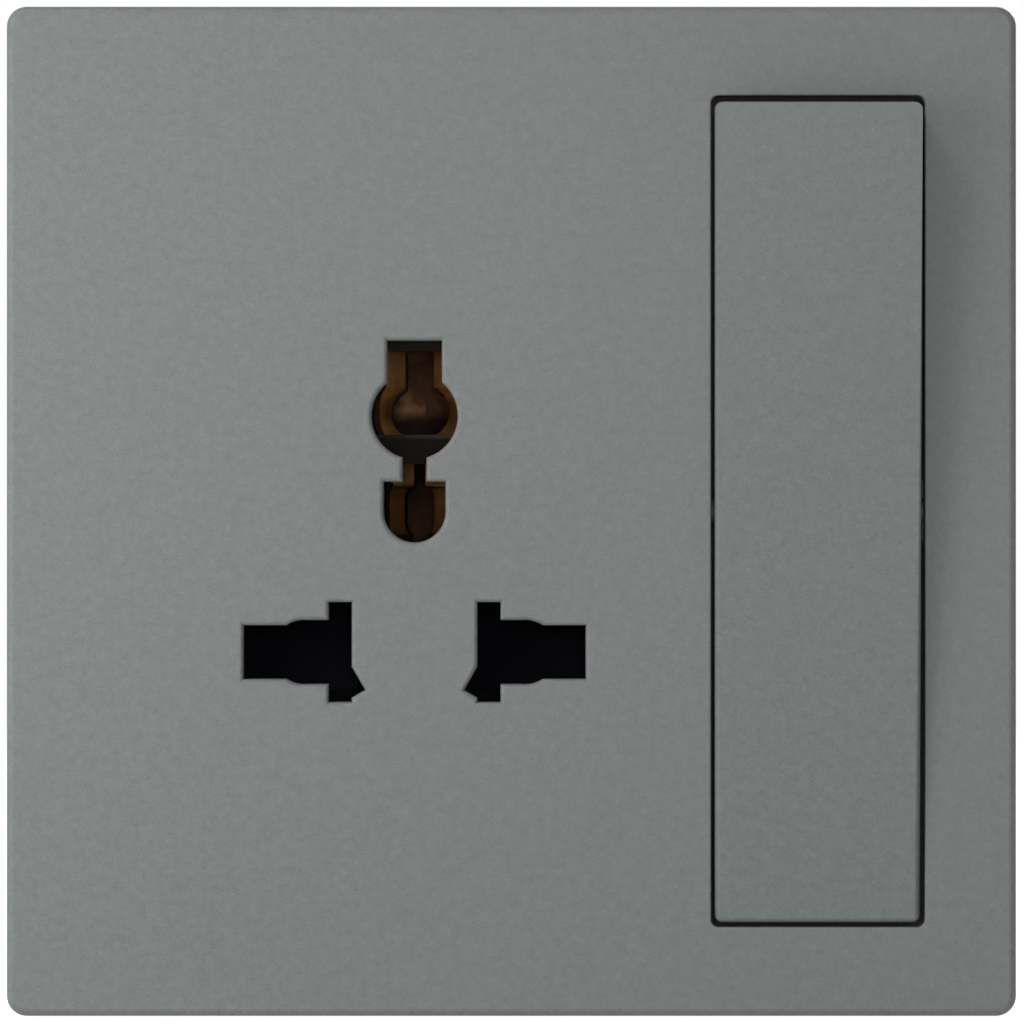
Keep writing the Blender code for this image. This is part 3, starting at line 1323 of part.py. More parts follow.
def seats():
    """Return the front corner and the far corner of each rib that carries a contact."""
    half = RIB_THICKNESS / 2
    found = []
    for side in (1, -1):
        for reach in (LEAF_START, LEAF_END - TAIL_WIDTH / 2):
            x = SOCKET_X + side * reach
            found.append((
                (x - half, WEB_BACK + SEAT_GAP, PIN_LINE_Z - WEB_HALF_HEIGHT),
                (x + half, PIN_LINE_Z + WEB_HALF_HEIGHT - RIB_THICKNESS),
            ))
        x = EARTH_X + side * EARTH_BULGE_R
        found.append((
            (x - half, WEB_BACK + SEAT_GAP, PIN_LINE_Z + EARTH_POCKET_BOTTOM),
            (x + half, PIN_LINE_Z + EARTH_BULGE_Z),
        ))
    bar_back = WEB_BACK + 2 * SEAT_GAP + STRIP_THICKNESS
    for x in ((line_tail()[1] + SWITCH_X) / 2, SWITCH_X):
        found.append((
            (x - half, bar_back, PIVOT_Z - STRIP_HALF_HEIGHT),
            (x + half, PIVOT_Z + STRIP_HALF_HEIGHT),
        ))
    tip_z = PIVOT_Z - TIP_Z
    strip_back = fixed_strip_y() + STRIP_THICKNESS + SEAT_GAP
    terminal_top = LINE_TERMINAL_Z + TERMINAL_SIDE / 2
    seat_bottom = max(tip_z - FIXED_STRIP_DROP, terminal_top + SEAT_GAP)
    found.append((
        (SWITCH_X - half, strip_back, seat_bottom),
        (SWITCH_X + half, tip_z + TIP_R),
    ))
    stop_y = SEESAW_Y + (SEESAW_HALF_LENGTH + OVERRUN) * math.sin(SEESAW_TILT)
    found.append((
        (SWITCH_X - half, stop_y, PIVOT_Z + TIP_Z - TIP_R),
        (SWITCH_X + half, PIVOT_Z + TIP_Z + TIP_R),
    ))
    return found


def main():
    """Build every piece in its place."""
    clear_scene()
    front_plate()
    rocker_key()
    mounting_frame()
    shutter_cover()
    shutter_slider()
    shutter_spring()
    lever = actuator_pivot()
    actuator(lever)
    plunger(lever)
    plunger_spring(lever)
    actuator_pin()
    seesaw = seesaw_pivot()
    moving_contact(seesaw)
    moving_contact_tip(seesaw)
    fulcrum_strip()
    fixed_contact()
    fixed_contact_tip()
    line_contact()
    neutral_contact()
    earth_contact()
    places = terminals()
    rear_housing(places)
    housing_screws()


main()
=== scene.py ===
"""Looks of a switched wall socket: a slate plate, a long switch key and the parts behind them.

Metres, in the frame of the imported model: X to the right, Z up, the front towards -Y.
"""

from __future__ import annotations

import json
import logging
import math
from contextlib import contextmanager
from dataclasses import dataclass, field
from enum import Enum
from typing import Callable, Iterator, Sequence

import bmesh
import bpy
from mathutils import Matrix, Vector

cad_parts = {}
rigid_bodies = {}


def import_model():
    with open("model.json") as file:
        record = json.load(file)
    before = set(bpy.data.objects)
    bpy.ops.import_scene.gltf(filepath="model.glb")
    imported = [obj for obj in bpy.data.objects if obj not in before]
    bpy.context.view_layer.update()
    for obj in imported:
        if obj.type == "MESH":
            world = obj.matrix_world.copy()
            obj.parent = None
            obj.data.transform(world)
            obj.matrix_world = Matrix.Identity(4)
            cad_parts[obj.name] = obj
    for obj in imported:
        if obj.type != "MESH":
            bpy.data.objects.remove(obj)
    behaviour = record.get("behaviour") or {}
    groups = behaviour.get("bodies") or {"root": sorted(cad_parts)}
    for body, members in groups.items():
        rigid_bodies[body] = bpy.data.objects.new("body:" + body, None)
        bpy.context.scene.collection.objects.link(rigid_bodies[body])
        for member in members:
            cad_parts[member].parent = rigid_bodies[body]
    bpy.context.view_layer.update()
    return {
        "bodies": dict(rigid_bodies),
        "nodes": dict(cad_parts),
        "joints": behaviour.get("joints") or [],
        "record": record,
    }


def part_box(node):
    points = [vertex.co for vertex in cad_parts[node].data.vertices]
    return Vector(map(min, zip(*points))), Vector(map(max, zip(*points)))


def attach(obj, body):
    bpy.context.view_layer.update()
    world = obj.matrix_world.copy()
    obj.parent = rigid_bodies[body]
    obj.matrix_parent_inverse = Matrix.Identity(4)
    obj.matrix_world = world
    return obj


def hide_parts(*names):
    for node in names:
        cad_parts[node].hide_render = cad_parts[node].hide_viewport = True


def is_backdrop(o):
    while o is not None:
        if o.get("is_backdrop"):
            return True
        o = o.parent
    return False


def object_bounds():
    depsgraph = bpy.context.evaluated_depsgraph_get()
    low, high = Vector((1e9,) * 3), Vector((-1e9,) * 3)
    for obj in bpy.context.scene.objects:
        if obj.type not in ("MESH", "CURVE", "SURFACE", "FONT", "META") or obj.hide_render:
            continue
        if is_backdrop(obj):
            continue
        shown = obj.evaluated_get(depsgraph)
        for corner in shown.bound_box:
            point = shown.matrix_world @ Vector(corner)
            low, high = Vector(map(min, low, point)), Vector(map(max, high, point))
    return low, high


LOG = logging.getLogger("socket")

MM = 0.001
OVERRUN = 1.0 * MM  # how far a cutter reaches past what it cuts
WELD = 0.4 * MM  # how far a part that is fused on reaches into its carrier
TOUCH = 0.01 * MM  # two places that are nearer than this are on one level
DOUBLES = 0.002 * MM
SMOOTH_ANGLE = math.radians(30)
FLAT_WEIGHT = 100
FACING = 0.9  # the least share of a normal that makes a face look along an axis
ROUND_STEPS = 8
MOUTH_STEPS = 5
MOUTH_GROWTH = 0.015  # each mouth is this share larger than the last, so that no two rings coincide

MIDDLE = 0.5  # noise is as often above this as below
BAND_FADE = 0.25 * MM
LINE_DEPTH = 0.02 * MM
LINE_BUMP = 0.35
METAL_DETAIL = 3.0
WHOLE = ((0.0, 0.0), (1.0, 1.0))  # a ramp that only keeps a signal between 0 and 1
WHITE = (1.0, 1.0, 1.0, 1.0)

Point = tuple[float, float, float]
Limits = tuple[float, float]
EdgeTest = Callable[[Vector, Vector], bool]


class Axis(Enum):
    """An axis that a round piece is turned about."""

    X = (0.0, math.pi / 2, 0.0)
    Y = (math.pi / 2, 0.0, 0.0)


class Cut(Enum):
    """How a tool acts on a piece."""

    AWAY = "DIFFERENCE"
    ON = "UNION"


class Side(Enum):
    """A side of the socket's centre line, by the sign of its X."""

    LEFT = -1
    RIGHT = 1


# Modelling tools


class Bench:
    """Blender's own modelling tools, used on one piece at a time."""

    @staticmethod
    def clear() -> None:
        """Deselect everything."""
        bpy.ops.object.select_all(action="DESELECT")

    @staticmethod
    def take(piece: bpy.types.Object) -> None:
        """Select one piece alone and make it active.

        Args:
            piece: The object that the next operator works on.
        """
        Bench.clear()
        piece.select_set(True)
        bpy.context.view_layer.objects.active = piece

    @staticmethod
    def settle(piece: bpy.types.Object) -> None:
        """Move a piece's place, turn and size into its mesh."""
        Bench.take(piece)
        bpy.ops.object.transform_apply(location=True, rotation=True, scale=True)

    @staticmethod
    def box(name: str, low: Sequence[float], high: Sequence[float]) -> bpy.types.Object:
        """Add a box between two corners.

        Args:
            name: The piece's name.
            low: The corner with the lowest coordinates.
            high: The corner with the highest coordinates.

        Returns:
            The new object, with its place in its mesh.
        """
        Bench.clear()
        first, last = Vector(low), Vector(high)
        bpy.ops.mesh.primitive_cube_add(size=1, location=(first + last) / 2, scale=last - first)
        made = bpy.context.active_object
        made.name = name
        Bench.settle(made)
        return made

    @staticmethod
    def rod(
        name: str, centre: Sequence[float], axis: Axis, radius: float, length: float, steps: int = 48
    ) -> bpy.types.Object:
        """Add a round rod about its own centre.

        Args:
            name: The piece's name.
            centre: The middle of the rod.
            axis: The axis that it runs along.
            radius: Its radius.
            length: Its length.
            steps: How many flats make up its round side.

        Returns:
            The new object, with its place in its mesh.
        """
        Bench.clear()
        bpy.ops.mesh.primitive_cylinder_add(
            vertices=steps, radius=radius, depth=length, location=centre, rotation=axis.value
        )
        made = bpy.context.active_object
        made.name = name
        Bench.settle(made)
        return made

    @staticmethod
    @contextmanager
    def edit(piece: bpy.types.Object) -> Iterator[None]:
        """Open a piece in edit mode with nothing selected, and close it again.

        Args:
            piece: The piece to open.

        Yields:
            Nothing. The piece is open until the block ends.
        """
        Bench.take(piece)
        bpy.ops.object.mode_set(mode="EDIT")
        bpy.ops.mesh.select_all(action="DESELECT")
        yield
        bpy.ops.object.mode_set(mode="OBJECT")

    @staticmethod
    def _pick(piece: bpy.types.Object, mode: str, test: Callable[[object], bool]) -> None:
        """Select the elements of one kind that pass a test.

        Args:
            piece: The piece that is open in edit mode.
            mode: The kind: FACE, EDGE or VERT.
            test: What an element has to pass.
        """
        bpy.ops.mesh.select_mode(type=mode)
        bpy.ops.mesh.select_all(action="DESELECT")
        mesh = bmesh.from_edit_mesh(piece.data)
        elements = {"FACE": mesh.faces, "EDGE": mesh.edges, "VERT": mesh.verts}[mode]
        for element in [each for each in elements if test(each)]:
            element.select_set(True)
        bmesh.update_edit_mesh(piece.data)

    @staticmethod
    def pick_faces(piece: bpy.types.Object, test: Callable[[Vector], bool]) -> None:
        """Select the faces whose normal passes a test."""
        Bench._pick(piece, "FACE", lambda face: test(face.normal))

    @staticmethod
    def pick_edges(piece: bpy.types.Object, test: EdgeTest) -> None:
        """Select the edges whose two ends pass a test."""
        Bench._pick(piece, "EDGE", lambda edge: test(edge.verts[0].co, edge.verts[1].co))

    @staticmethod
    def pick_corners(piece: bpy.types.Object, test: Callable[[Vector], bool]) -> None:
        """Select the corners whose place passes a test."""
        Bench._pick(piece, "VERT", lambda corner: test(corner.co))

    @staticmethod
    def round_edges(width: float, segments: int = ROUND_STEPS) -> None:
        """Round the selected edges."""
        bpy.ops.mesh.bevel(offset=width, segments=segments, profile=0.5, affect="EDGES", clamp_overlap=False)

    @staticmethod
    def apply(piece: bpy.types.Object, step: bpy.types.Modifier) -> None:
        """Apply one modifier of a piece."""
        Bench.take(piece)
        bpy.ops.object.modifier_apply(modifier=step.name)

    @staticmethod
    def combine(piece: bpy.types.Object, tool: bpy.types.Object, cut: Cut) -> None:
        """Cut a tool out of a piece or fuse it on, and delete the tool.

        Args:
            piece: The piece that stays.
            tool: The object that is used up.
            cut: Whether the tool's volume is taken away or added on.
        """
        step = piece.modifiers.new(cut.name.title(), "BOOLEAN")
        step.operation = cut.value
        step.solver = "EXACT"
        step.object = tool
        Bench.apply(piece, step)
        bpy.data.objects.remove(tool, do_unlink=True)

    @staticmethod
    def finish(piece: bpy.types.Object) -> None:
        """Merge a piece's doubled corners, shade its round faces smooth and keep its flats flat.

        Args:
            piece: The modelled piece.
        """
        with Bench.edit(piece):
            bpy.ops.mesh.select_all(action="SELECT")
            bpy.ops.mesh.remove_doubles(threshold=DOUBLES)
            bpy.ops.mesh.normals_make_consistent(inside=False)
        Bench.take(piece)
        bpy.ops.object.shade_smooth_by_angle(angle=SMOOTH_ANGLE)
        flats = piece.modifiers.new("Flats", "WEIGHTED_NORMAL")
        flats.weight = FLAT_WEIGHT
        flats.keep_sharp = True
        Bench.apply(piece, flats)


# Shader tools


class Signal:
    """A shader socket whose maths is written as Python."""

    def __init__(self, graph: Graph, output: bpy.types.NodeSocket) -> None:
        """Wrap one output of a node in a graph."""
        self.graph = graph
        self.output = output

    def _maths(self, operation: str, first: Signal | float, second: Signal | float) -> Signal:
        """Return the result of one Math node."""
        node = self.graph.node("ShaderNodeMath", {"operation": operation}, {0: first, 1: second})
        return Signal(self.graph, node.outputs[0])

    def __add__(self, other: Signal | float) -> Signal:
        """Add."""
        return self._maths("ADD", self, other)

    __radd__ = __add__

    def __sub__(self, other: Signal | float) -> Signal:
        """Subtract."""
        return self._maths("SUBTRACT", self, other)

    def __rsub__(self, other: float) -> Signal:
        """Subtract from a number."""
        return self._maths("SUBTRACT", other, self)

    def __mul__(self, other: Signal | float) -> Signal:
        """Multiply."""
        return self._maths("MULTIPLY", self, other)

    __rmul__ = __mul__


class Graph:
    """The node tree of one material."""

    def __init__(self, name: str, world: bool = False) -> None:
        """Make a material or a world with an empty tree and its output.

        Args:
            name: Its name.
            world: True for a world, False for a material.
        """
        self.holder = bpy.data.worlds.new(name) if world else bpy.data.materials.new(name)
        self.holder.use_nodes = True
        self.tree = self.holder.node_tree
        self.tree.nodes.clear()
        kind = "ShaderNodeOutputWorld" if world else "ShaderNodeOutputMaterial"
        self.output = self.tree.nodes.new(kind)

    def node(self, kind: str, settings: dict, inputs: dict) -> bpy.types.Node:
        """Add a node with its settings and inputs.

        Args:
            kind: The node's type.
            settings: Properties set before the sockets, with a ramp's stops under "stops".
            inputs: Values or signals by the name or number of their socket.

        Returns:
            The new node.
        """
        made = self.tree.nodes.new(kind)
        for key, value in settings.items():
            if key == "stops":
                self._stops(made, value)
            else:
                setattr(made, key, value)
        for key, value in inputs.items():
            if isinstance(value, Signal):
                self.tree.links.new(value.output, made.inputs[key])
            elif isinstance(value, bpy.types.NodeSocket):
                self.tree.links.new(value, made.inputs[key])
            else:
                made.inputs[key].default_value = value
        return made

    @staticmethod
    def _stops(node: bpy.types.Node, stops: Sequence[tuple[float, float]]) -> None:
        """Set the stops of a ramp.

        Args:
            node: The ramp.
            stops: Each stop's place and grey level.
        """
        elements = node.color_ramp.elements
        while len(elements) < len(stops):
            elements.new(1.0)
        for element, (place, level) in zip(elements, stops):
            element.position = place
            element.color = (level, level, level, 1.0)

    def place(self, stretch: Point = (1.0, 1.0, 1.0)) -> bpy.types.NodeSocket:
        """Read the object's own coordinates.

        Args:
            stretch: What they are multiplied by along each axis.

        Returns:
            The coordinates.
        """
        source = self.node("ShaderNodeTexCoord", {}, {}).outputs["Object"]
        mapping = self.node("ShaderNodeMapping", {}, {"Vector": source, "Scale": stretch})
        return mapping.outputs["Vector"]

    def noise(self, grain: float, detail: float = 2.0, stretch: Point = (1.0, 1.0, 1.0)) -> Signal:
        """Return noise from 0 to 1.

        Args:
            grain: The size of its patches, in metres.
            detail: How many finer layers it has.
            stretch: How much finer the patches are along each axis.

        Returns:
            The noise as a signal.
        """
        inputs = {"Vector": self.place(stretch), "Scale": 1 / grain, "Detail": detail}
        return Signal(self, self.node("ShaderNodeTexNoise", {}, inputs).outputs["Fac"])

    def ramp(self, signal: Signal, stops: Sequence[tuple[float, float]]) -> Signal:
        """Bend a signal through a ramp of stops."""
        node = self.node("ShaderNodeValToRGB", {"stops": stops}, {"Fac": signal})
        return Signal(self, node.outputs["Color"])

    def mix(self, factor: Signal | float, first: object, second: object) -> bpy.types.NodeSocket:
        """Mix two colours, each a tuple or a socket."""
        inputs = {"Factor": factor, 6: self._colour(first), 7: self._colour(second)}
        return self.node("ShaderNodeMix", {"data_type": "RGBA"}, inputs).outputs[2]

    def share(self, axis: str, limits: Limits) -> Signal:
        """Measure how far a place lies between two limits.

        Args:
            axis: The axis that it is measured along.
            limits: Where the share is 0 and where it is 1.

        Returns:
            The share, kept between 0 and 1.
        """
        place = self.node("ShaderNodeSeparateXYZ", {}, {"Vector": self.place()}).outputs[axis]
        inputs = {"Value": place, "From Min": limits[0], "From Max": limits[1]}
        return Signal(self, self.node("ShaderNodeMapRange", {"clamp": True}, inputs).outputs[0])

    @staticmethod
    def _colour(value: object) -> object:
        """Give a plain colour its alpha."""
        return (*value, 1.0) if isinstance(value, tuple) and len(value) == 3 else value

    def bump(self, height: Signal, distance: float, strength: float) -> bpy.types.NodeSocket:
        """Return a normal that is bent by a height from 0 to 1, times a distance in metres."""
        inputs = {"Height": height, "Distance": distance, "Strength": strength}
        return self.node("ShaderNodeBump", {}, inputs).outputs["Normal"]

    def seen(self) -> Signal:
        """Tell the rays that show the background, from the camera, a reflection or glass.

        Returns:
            1 on such a ray, or 0.
        """
        path = self.node("ShaderNodeLightPath", {}, {}).outputs
        kinds = ("Is Camera Ray", "Is Glossy Ray", "Is Transmission Ray")
        camera, glossy, glass = (Signal(self, path[kind]) for kind in kinds)
        return camera + glossy + glass

    def blend(self, factor: Signal, first: bpy.types.Node, second: bpy.types.Node) -> bpy.types.NodeSocket:
        """Mix the shaders of two nodes."""
        inputs = {0: factor, 1: first.outputs[0], 2: second.outputs[0]}
        return self.node("ShaderNodeMixShader", {}, inputs).outputs[0]

    def close(self, surface: bpy.types.NodeSocket) -> bpy.types.ID:
        """Link a shader to the output and return the material or the world."""
        self.tree.links.new(surface, self.output.inputs["Surface"])
        return self.holder

    def principled(self, inputs: dict) -> bpy.types.Material:
        """Close the tree with a Principled shader and return the material."""
        return self.close(self.node("ShaderNodeBsdfPrincipled", {}, inputs).outputs["BSDF"])


# Finishes


@dataclass(frozen=True)
class MouldedPlastic:
    """Moulded plastic with a fine spark-eroded texture, and painted highlights and painted shade in bands of
    height.
    """

    name: str
    colour: Point
    roughness: float = 0.5
    grain: float = 0.16 * MM
    fleck: float = 0.5
    depth: float = 0.012 * MM
    cloud: float = 0.02
    specular: float = 0.3
    painted_light_bands: tuple[tuple[float, float, Point], ...] = ()
    coarse_grain: float = 4.5
    coarse_fleck: float = 0.7
    patch: float = 18 * MM
    spread: float = 0.5
    rough_grain: float = 0.1
    rough_patch: float = 0.06
    fine_height: float = 0.6
    bump: float = 0.6

    def build(self) -> bpy.types.Material:
        """Make the finish.

        Returns:
            The material.
        """
        graph = Graph(self.name)
        fine = graph.noise(self.grain, 1.0)
        coarse = graph.noise(self.grain * self.coarse_grain)
        wide = graph.noise(self.patch)
        grains = (fine - MIDDLE) * self.fleck + (coarse - MIDDLE) * (self.fleck * self.coarse_fleck)
        factor = grains + (wide - MIDDLE) * self.cloud + MIDDLE
        dark = tuple(c * (1 - self.spread) for c in self.colour)
        light = tuple(min(c * (1 + self.spread), 1.0) for c in self.colour)
        colour = graph.mix(factor, dark, light)
        # Painted light: each band swaps the colour for a painted highlight or painted shade between two
        # heights.
        for low, high, shade in self.painted_light_bands:
            above, below = (low - BAND_FADE, low), (high + BAND_FADE, high)
            colour = graph.mix(graph.share("Z", above) * graph.share("Z", below), colour, shade)
        rough = (coarse - MIDDLE) * self.rough_grain + (wide - MIDDLE) * self.rough_patch + self.roughness
        height = fine * self.fine_height + coarse * (1 - self.fine_height)
        return graph.principled({
            "Base Color": colour,
            "Roughness": rough,
            "Specular IOR Level": self.specular,
            "Normal": graph.bump(height, self.depth, self.bump),
        })


@dataclass(frozen=True)
class RolledMetal:
    """Sheet or wire with rolling lines, a little tarnish and fine scratches."""

    name: str
    colour: Point
    tarnish: Point
    roughness: float = 0.3
    lines: Point = (1.0, 12.0, 1.0)
    amount: float = 0.35
    line_size: float = 0.9 * MM
    cloud_size: float = 3.5 * MM
    cloud_limits: Limits = (0.35, 0.7)
    rough_lines: float = 0.22
    rough_tarnish: float = 0.12

    def build(self) -> bpy.types.Material:
        """Make the finish.

        Returns:
            The material.
        """
        graph = Graph(self.name)
        streak = graph.noise(self.line_size, METAL_DETAIL, self.lines)
        stops = tuple(zip(self.cloud_limits, (0.0, 1.0)))
        cloud = graph.ramp(graph.noise(self.cloud_size, METAL_DETAIL), stops)
        colour = graph.mix(cloud * self.amount, self.colour, self.tarnish)
        rough = (streak - MIDDLE) * self.rough_lines + cloud * self.rough_tarnish + self.roughness
        return graph.principled({
            "Base Color": colour,
            "Metallic": 1.0,
            "Roughness": rough,
            "Normal": graph.bump(streak, LINE_DEPTH, LINE_BUMP),
        })


@dataclass(frozen=True)
class StudioSurface:
    """Matt floor that looks white to the camera and still takes the object's shadow."""

    name: str
    colour: Point
    glow: float
    grain: float = 6 * MM
    detail: float = 3.0
    darkest: float = 0.97

    def build(self) -> bpy.types.Material:
        """Make the finish.

        Returns:
            The material.
        """
        graph = Graph(self.name)
        low = tuple(c * self.darkest for c in self.colour)
        shade = graph.mix(graph.noise(self.grain, self.detail), low, self.colour)
        matt = graph.node("ShaderNodeBsdfDiffuse", {}, {"Color": shade})
        bright = graph.node("ShaderNodeEmission", {}, {"Color": WHITE, "Strength": self.glow})
        both = graph.node("ShaderNodeAddShader", {}, {0: matt.outputs[0], 1: bright.outputs[0]})
        return graph.close(graph.blend(graph.seen(), matt, both))


@dataclass(frozen=True)
class FormedBronze:
    """Sheet in the bronze's colour at its lips, with painted shade further in, low down and on its right,
    and a painted shadow band.
    """

    name: str
    lips: Point
    deep_shade: Point
    shadow_colour: Point
    inward_shade: Limits
    lower: Limits
    right: Limits
    shadow_band: Limits
    lower_share: float = 0.87
    right_share: float = 0.9
    cloud_share: float = 0.25
    low_shadow_share: float = 0.5
    roughness: float = 0.32
    rough_lines: float = 0.2
    rough_with_shade: float = 0.15
    lines: Point = (1.0, 8.0, 1.0)
    line_size: float = 0.8 * MM
    cloud_size: float = 2.2 * MM

    def build(self) -> bpy.types.Material:
        """Make the finish.

        Returns:
            The material.
        """
        graph = Graph(self.name)
        inward_shade = graph.share("Y", self.inward_shade)
        lower = graph.share("Z", self.lower)
        right = graph.share("X", self.right)
        shadow_band = graph.share("Z", self.shadow_band)
        streak = graph.noise(self.line_size, METAL_DETAIL, self.lines)
        cloud = graph.noise(self.cloud_size, METAL_DETAIL)
        upper = 1 - lower
        low_and_right_shade = lower * self.lower_share + right * upper * self.right_share
        # Painted shade: darker further in, low down and on the right, with a random tone from the cloud.
        shade_and_tone = graph.ramp(inward_shade + low_and_right_shade + (cloud - MIDDLE) * self.cloud_share, WHOLE)
        # Painted shadow: a dark band between two heights, further in.
        painted_shadow = graph.ramp(inward_shade * shadow_band * (upper * (1 - self.low_shadow_share) + self.low_shadow_share), WHOLE)
        return graph.principled({
            "Base Color": graph.mix(painted_shadow, graph.mix(shade_and_tone, self.lips, self.deep_shade), self.shadow_colour),
            "Metallic": 1.0,
            "Roughness": (streak - MIDDLE) * self.rough_lines + shade_and_tone * self.rough_with_shade + self.roughness,
            "Normal": graph.bump(streak, LINE_DEPTH, LINE_BUMP),
        })


SLATE_PLATE = MouldedPlastic("slate_plate", (0.200, 0.214, 0.209))
SLATE_KEY = MouldedPlastic("slate_key", (0.194, 0.210, 0.207))
# The shutter's band is painted shade on the slider's lower lip.
BLACK_SHUTTER = MouldedPlastic(
    "black_shutter", (0.0055, 0.0056, 0.0085), fleck=0.05, specular=0.01,
    painted_light_bands=((-40 * MM, -15.3 * MM, (0.0024, 0.0024, 0.0034)),),
)
# The cover's first band is a painted highlight along the top of the bar across the earth window; the second
# is painted light on the cover above the earth contact.
BLACK_COVER = MouldedPlastic(
    "black_cover", (0.0062, 0.0036, 0.0022), fleck=0.05, specular=0.03,
    painted_light_bands=((6.35 * MM, 6.7 * MM, (0.03, 0.03, 0.026)), (13.5 * MM, 40 * MM, (0.0105, 0.0072, 0.0048))),
)
DARK_FRAME = MouldedPlastic("dark_frame", (0.12, 0.095, 0.09), roughness=0.55)
PALE_HOUSING = MouldedPlastic("pale_housing", (0.66, 0.65, 0.61), roughness=0.45, fleck=0.04)
IVORY_LEVER = MouldedPlastic("ivory_lever", (0.62, 0.59, 0.5), roughness=0.4, fleck=0.04)
# The earth contact's bronze: its lip colour, then the colours of painted shade and of a painted shadow, with
# the limits where each sets in.
EARTH_BRONZE = FormedBronze(
    "earth_bronze", (1.0, 0.60, 0.25), (0.031, 0.0155, 0.008), (0.006, 0.0035, 0.003),
    (-2.8 * MM, 11.0 * MM), (2.8 * MM, 2.2 * MM), (-7.6 * MM, -6.6 * MM), (9.1 * MM, 7.9 * MM),
)
BRASS = RolledMetal("rolled_brass", (0.78, 0.50, 0.18), (0.42, 0.22, 0.07), 0.3)
MACHINED_BRASS = RolledMetal(
    "machined_brass", (0.80, 0.60, 0.28), (0.55, 0.38, 0.16), 0.26, (14.0, 1.0, 14.0), 0.2
)
COPPER = RolledMetal("rolled_copper", (0.80, 0.42, 0.25), (0.45, 0.2, 0.12), 0.3, (1.0, 1.0, 12.0))
SPRING_STEEL = RolledMetal("spring_steel", (0.6, 0.6, 0.6), (0.35, 0.34, 0.33), 0.25, (4.0, 4.0, 4.0), 0.2)
ZINC_STEEL = RolledMetal("zinc_steel", (0.72, 0.73, 0.72), (0.5, 0.5, 0.46), 0.25, (6.0, 1.0, 6.0), 0.25)
SILVER = RolledMetal("contact_silver", (0.88, 0.88, 0.86), (0.6, 0.58, 0.52), 0.2, (3.0, 3.0, 3.0), 0.25)
STUDIO_WHITE = StudioSurface("studio_white", (0.82, 0.82, 0.82), 0.97)


def dress(piece: bpy.types.Object, material: bpy.types.Material) -> None:
    """Give a piece one material.

    Args:
        piece: The object to dress.
        material: Its finish.
    """
    if not piece.material_slots:
        piece.data.materials.append(material)
    for slot in piece.material_slots:
        slot.material = material


# Apertures


@dataclass(frozen=True)
class Slot:
    """A rectangular hole, by its middle, its size, its lean from upright and its round corners."""

    x: float
    z: float
    width: float
    height: float
    lean: float = 0.0
    corner: float = 0.0
    corner_steps: int = 24
    square_top: bool = True

    def tool(self, front: float, back: float, chamfer: float) -> bpy.types.Object:
        """Return the cutter of this hole.

        Args:
            front: The level of the face that the hole opens in.
            back: Where the cutter ends.
            chamfer: How much its mouth widens.

        Returns:
            A box whose mouth widens in front of the chamfer's foot.
        """
        half_x, half_z = self.width / 2, self.height / 2
        made = Bench.box("cutter", (-half_x, front + chamfer, -half_z), (half_x, back, half_z))
        if self.corner:
            round_uprights(made, self.corner, self.corner_steps, lambda z: z < 0 or not self.square_top)
        widen(made, chamfer, (half_x, half_z))
        made.rotation_euler.y = self.lean
        made.location = (self.x, 0, self.z)
        Bench.settle(made)
        return made


@dataclass(frozen=True)
class RoundHole:
    """A round hole, by its middle and radius."""

    x: float
    z: float
    radius: float
    steps: int = 64

    def tool(self, front: float, back: float, chamfer: float) -> bpy.types.Object:
        """Return the cutter of this hole.

        Args:
            front: The level of the face that the hole opens in.
            back: Where the cutter ends.
            chamfer: How much its mouth widens.

        Returns:
            A rod whose mouth widens in front of the chamfer's foot.
        """
        start = front + chamfer
        centre = (0, (start + back) / 2, 0)
        made = Bench.rod("cutter", centre, Axis.Y, self.radius, back - start, self.steps)
        widen(made, chamfer, (self.radius, self.radius))
        made.location = (self.x, 0, self.z)
        Bench.settle(made)
        return made


def widen(tool: bpy.types.Object, mouth: float, half: tuple[float, float]) -> None:
    """Extrude a cutter's front face forwards and widen it step by step into a round mouth.

    Args:
        tool: The cutter, centred on X and Z.
        mouth: The radius that it rounds the hole's front edge to, or 0 for a straight cutter.
        half: Half the cutter's width and height.
    """
    spread, depth = 0.0, 0.0
    with Bench.edit(tool):
        Bench.pick_faces(tool, lambda normal: normal.y < -FACING)
        for step in range(1, MOUTH_STEPS + 1):
            turn = math.pi / 2 * step / MOUTH_STEPS
            wider, deeper = mouth * (1 - math.cos(turn)), mouth * math.sin(turn)
            extrude_and_scale(deeper - depth, spread, wider, half)
            spread, depth = wider, deeper
        extrude_and_scale(OVERRUN, spread, spread, half)


def extrude_and_scale(reach: float, before: float, after: float, half: tuple[float, float]) -> None:
    """Extrude the selected front face and change how far it stands out round the hole.

    Args:
        reach: How far forwards it goes.
        before: How much wider than the hole it is.
        after: How much wider it becomes.
        half: Half the hole's width and height.
    """
    bpy.ops.mesh.extrude_region_move(TRANSFORM_OT_translate={"value": (0, -reach, 0)})
    grow_x = (half[0] + after) / (half[0] + before)
    grow_z = (half[1] + after) / (half[1] + before)
    bpy.ops.transform.resize(value=(grow_x, 1, grow_z))


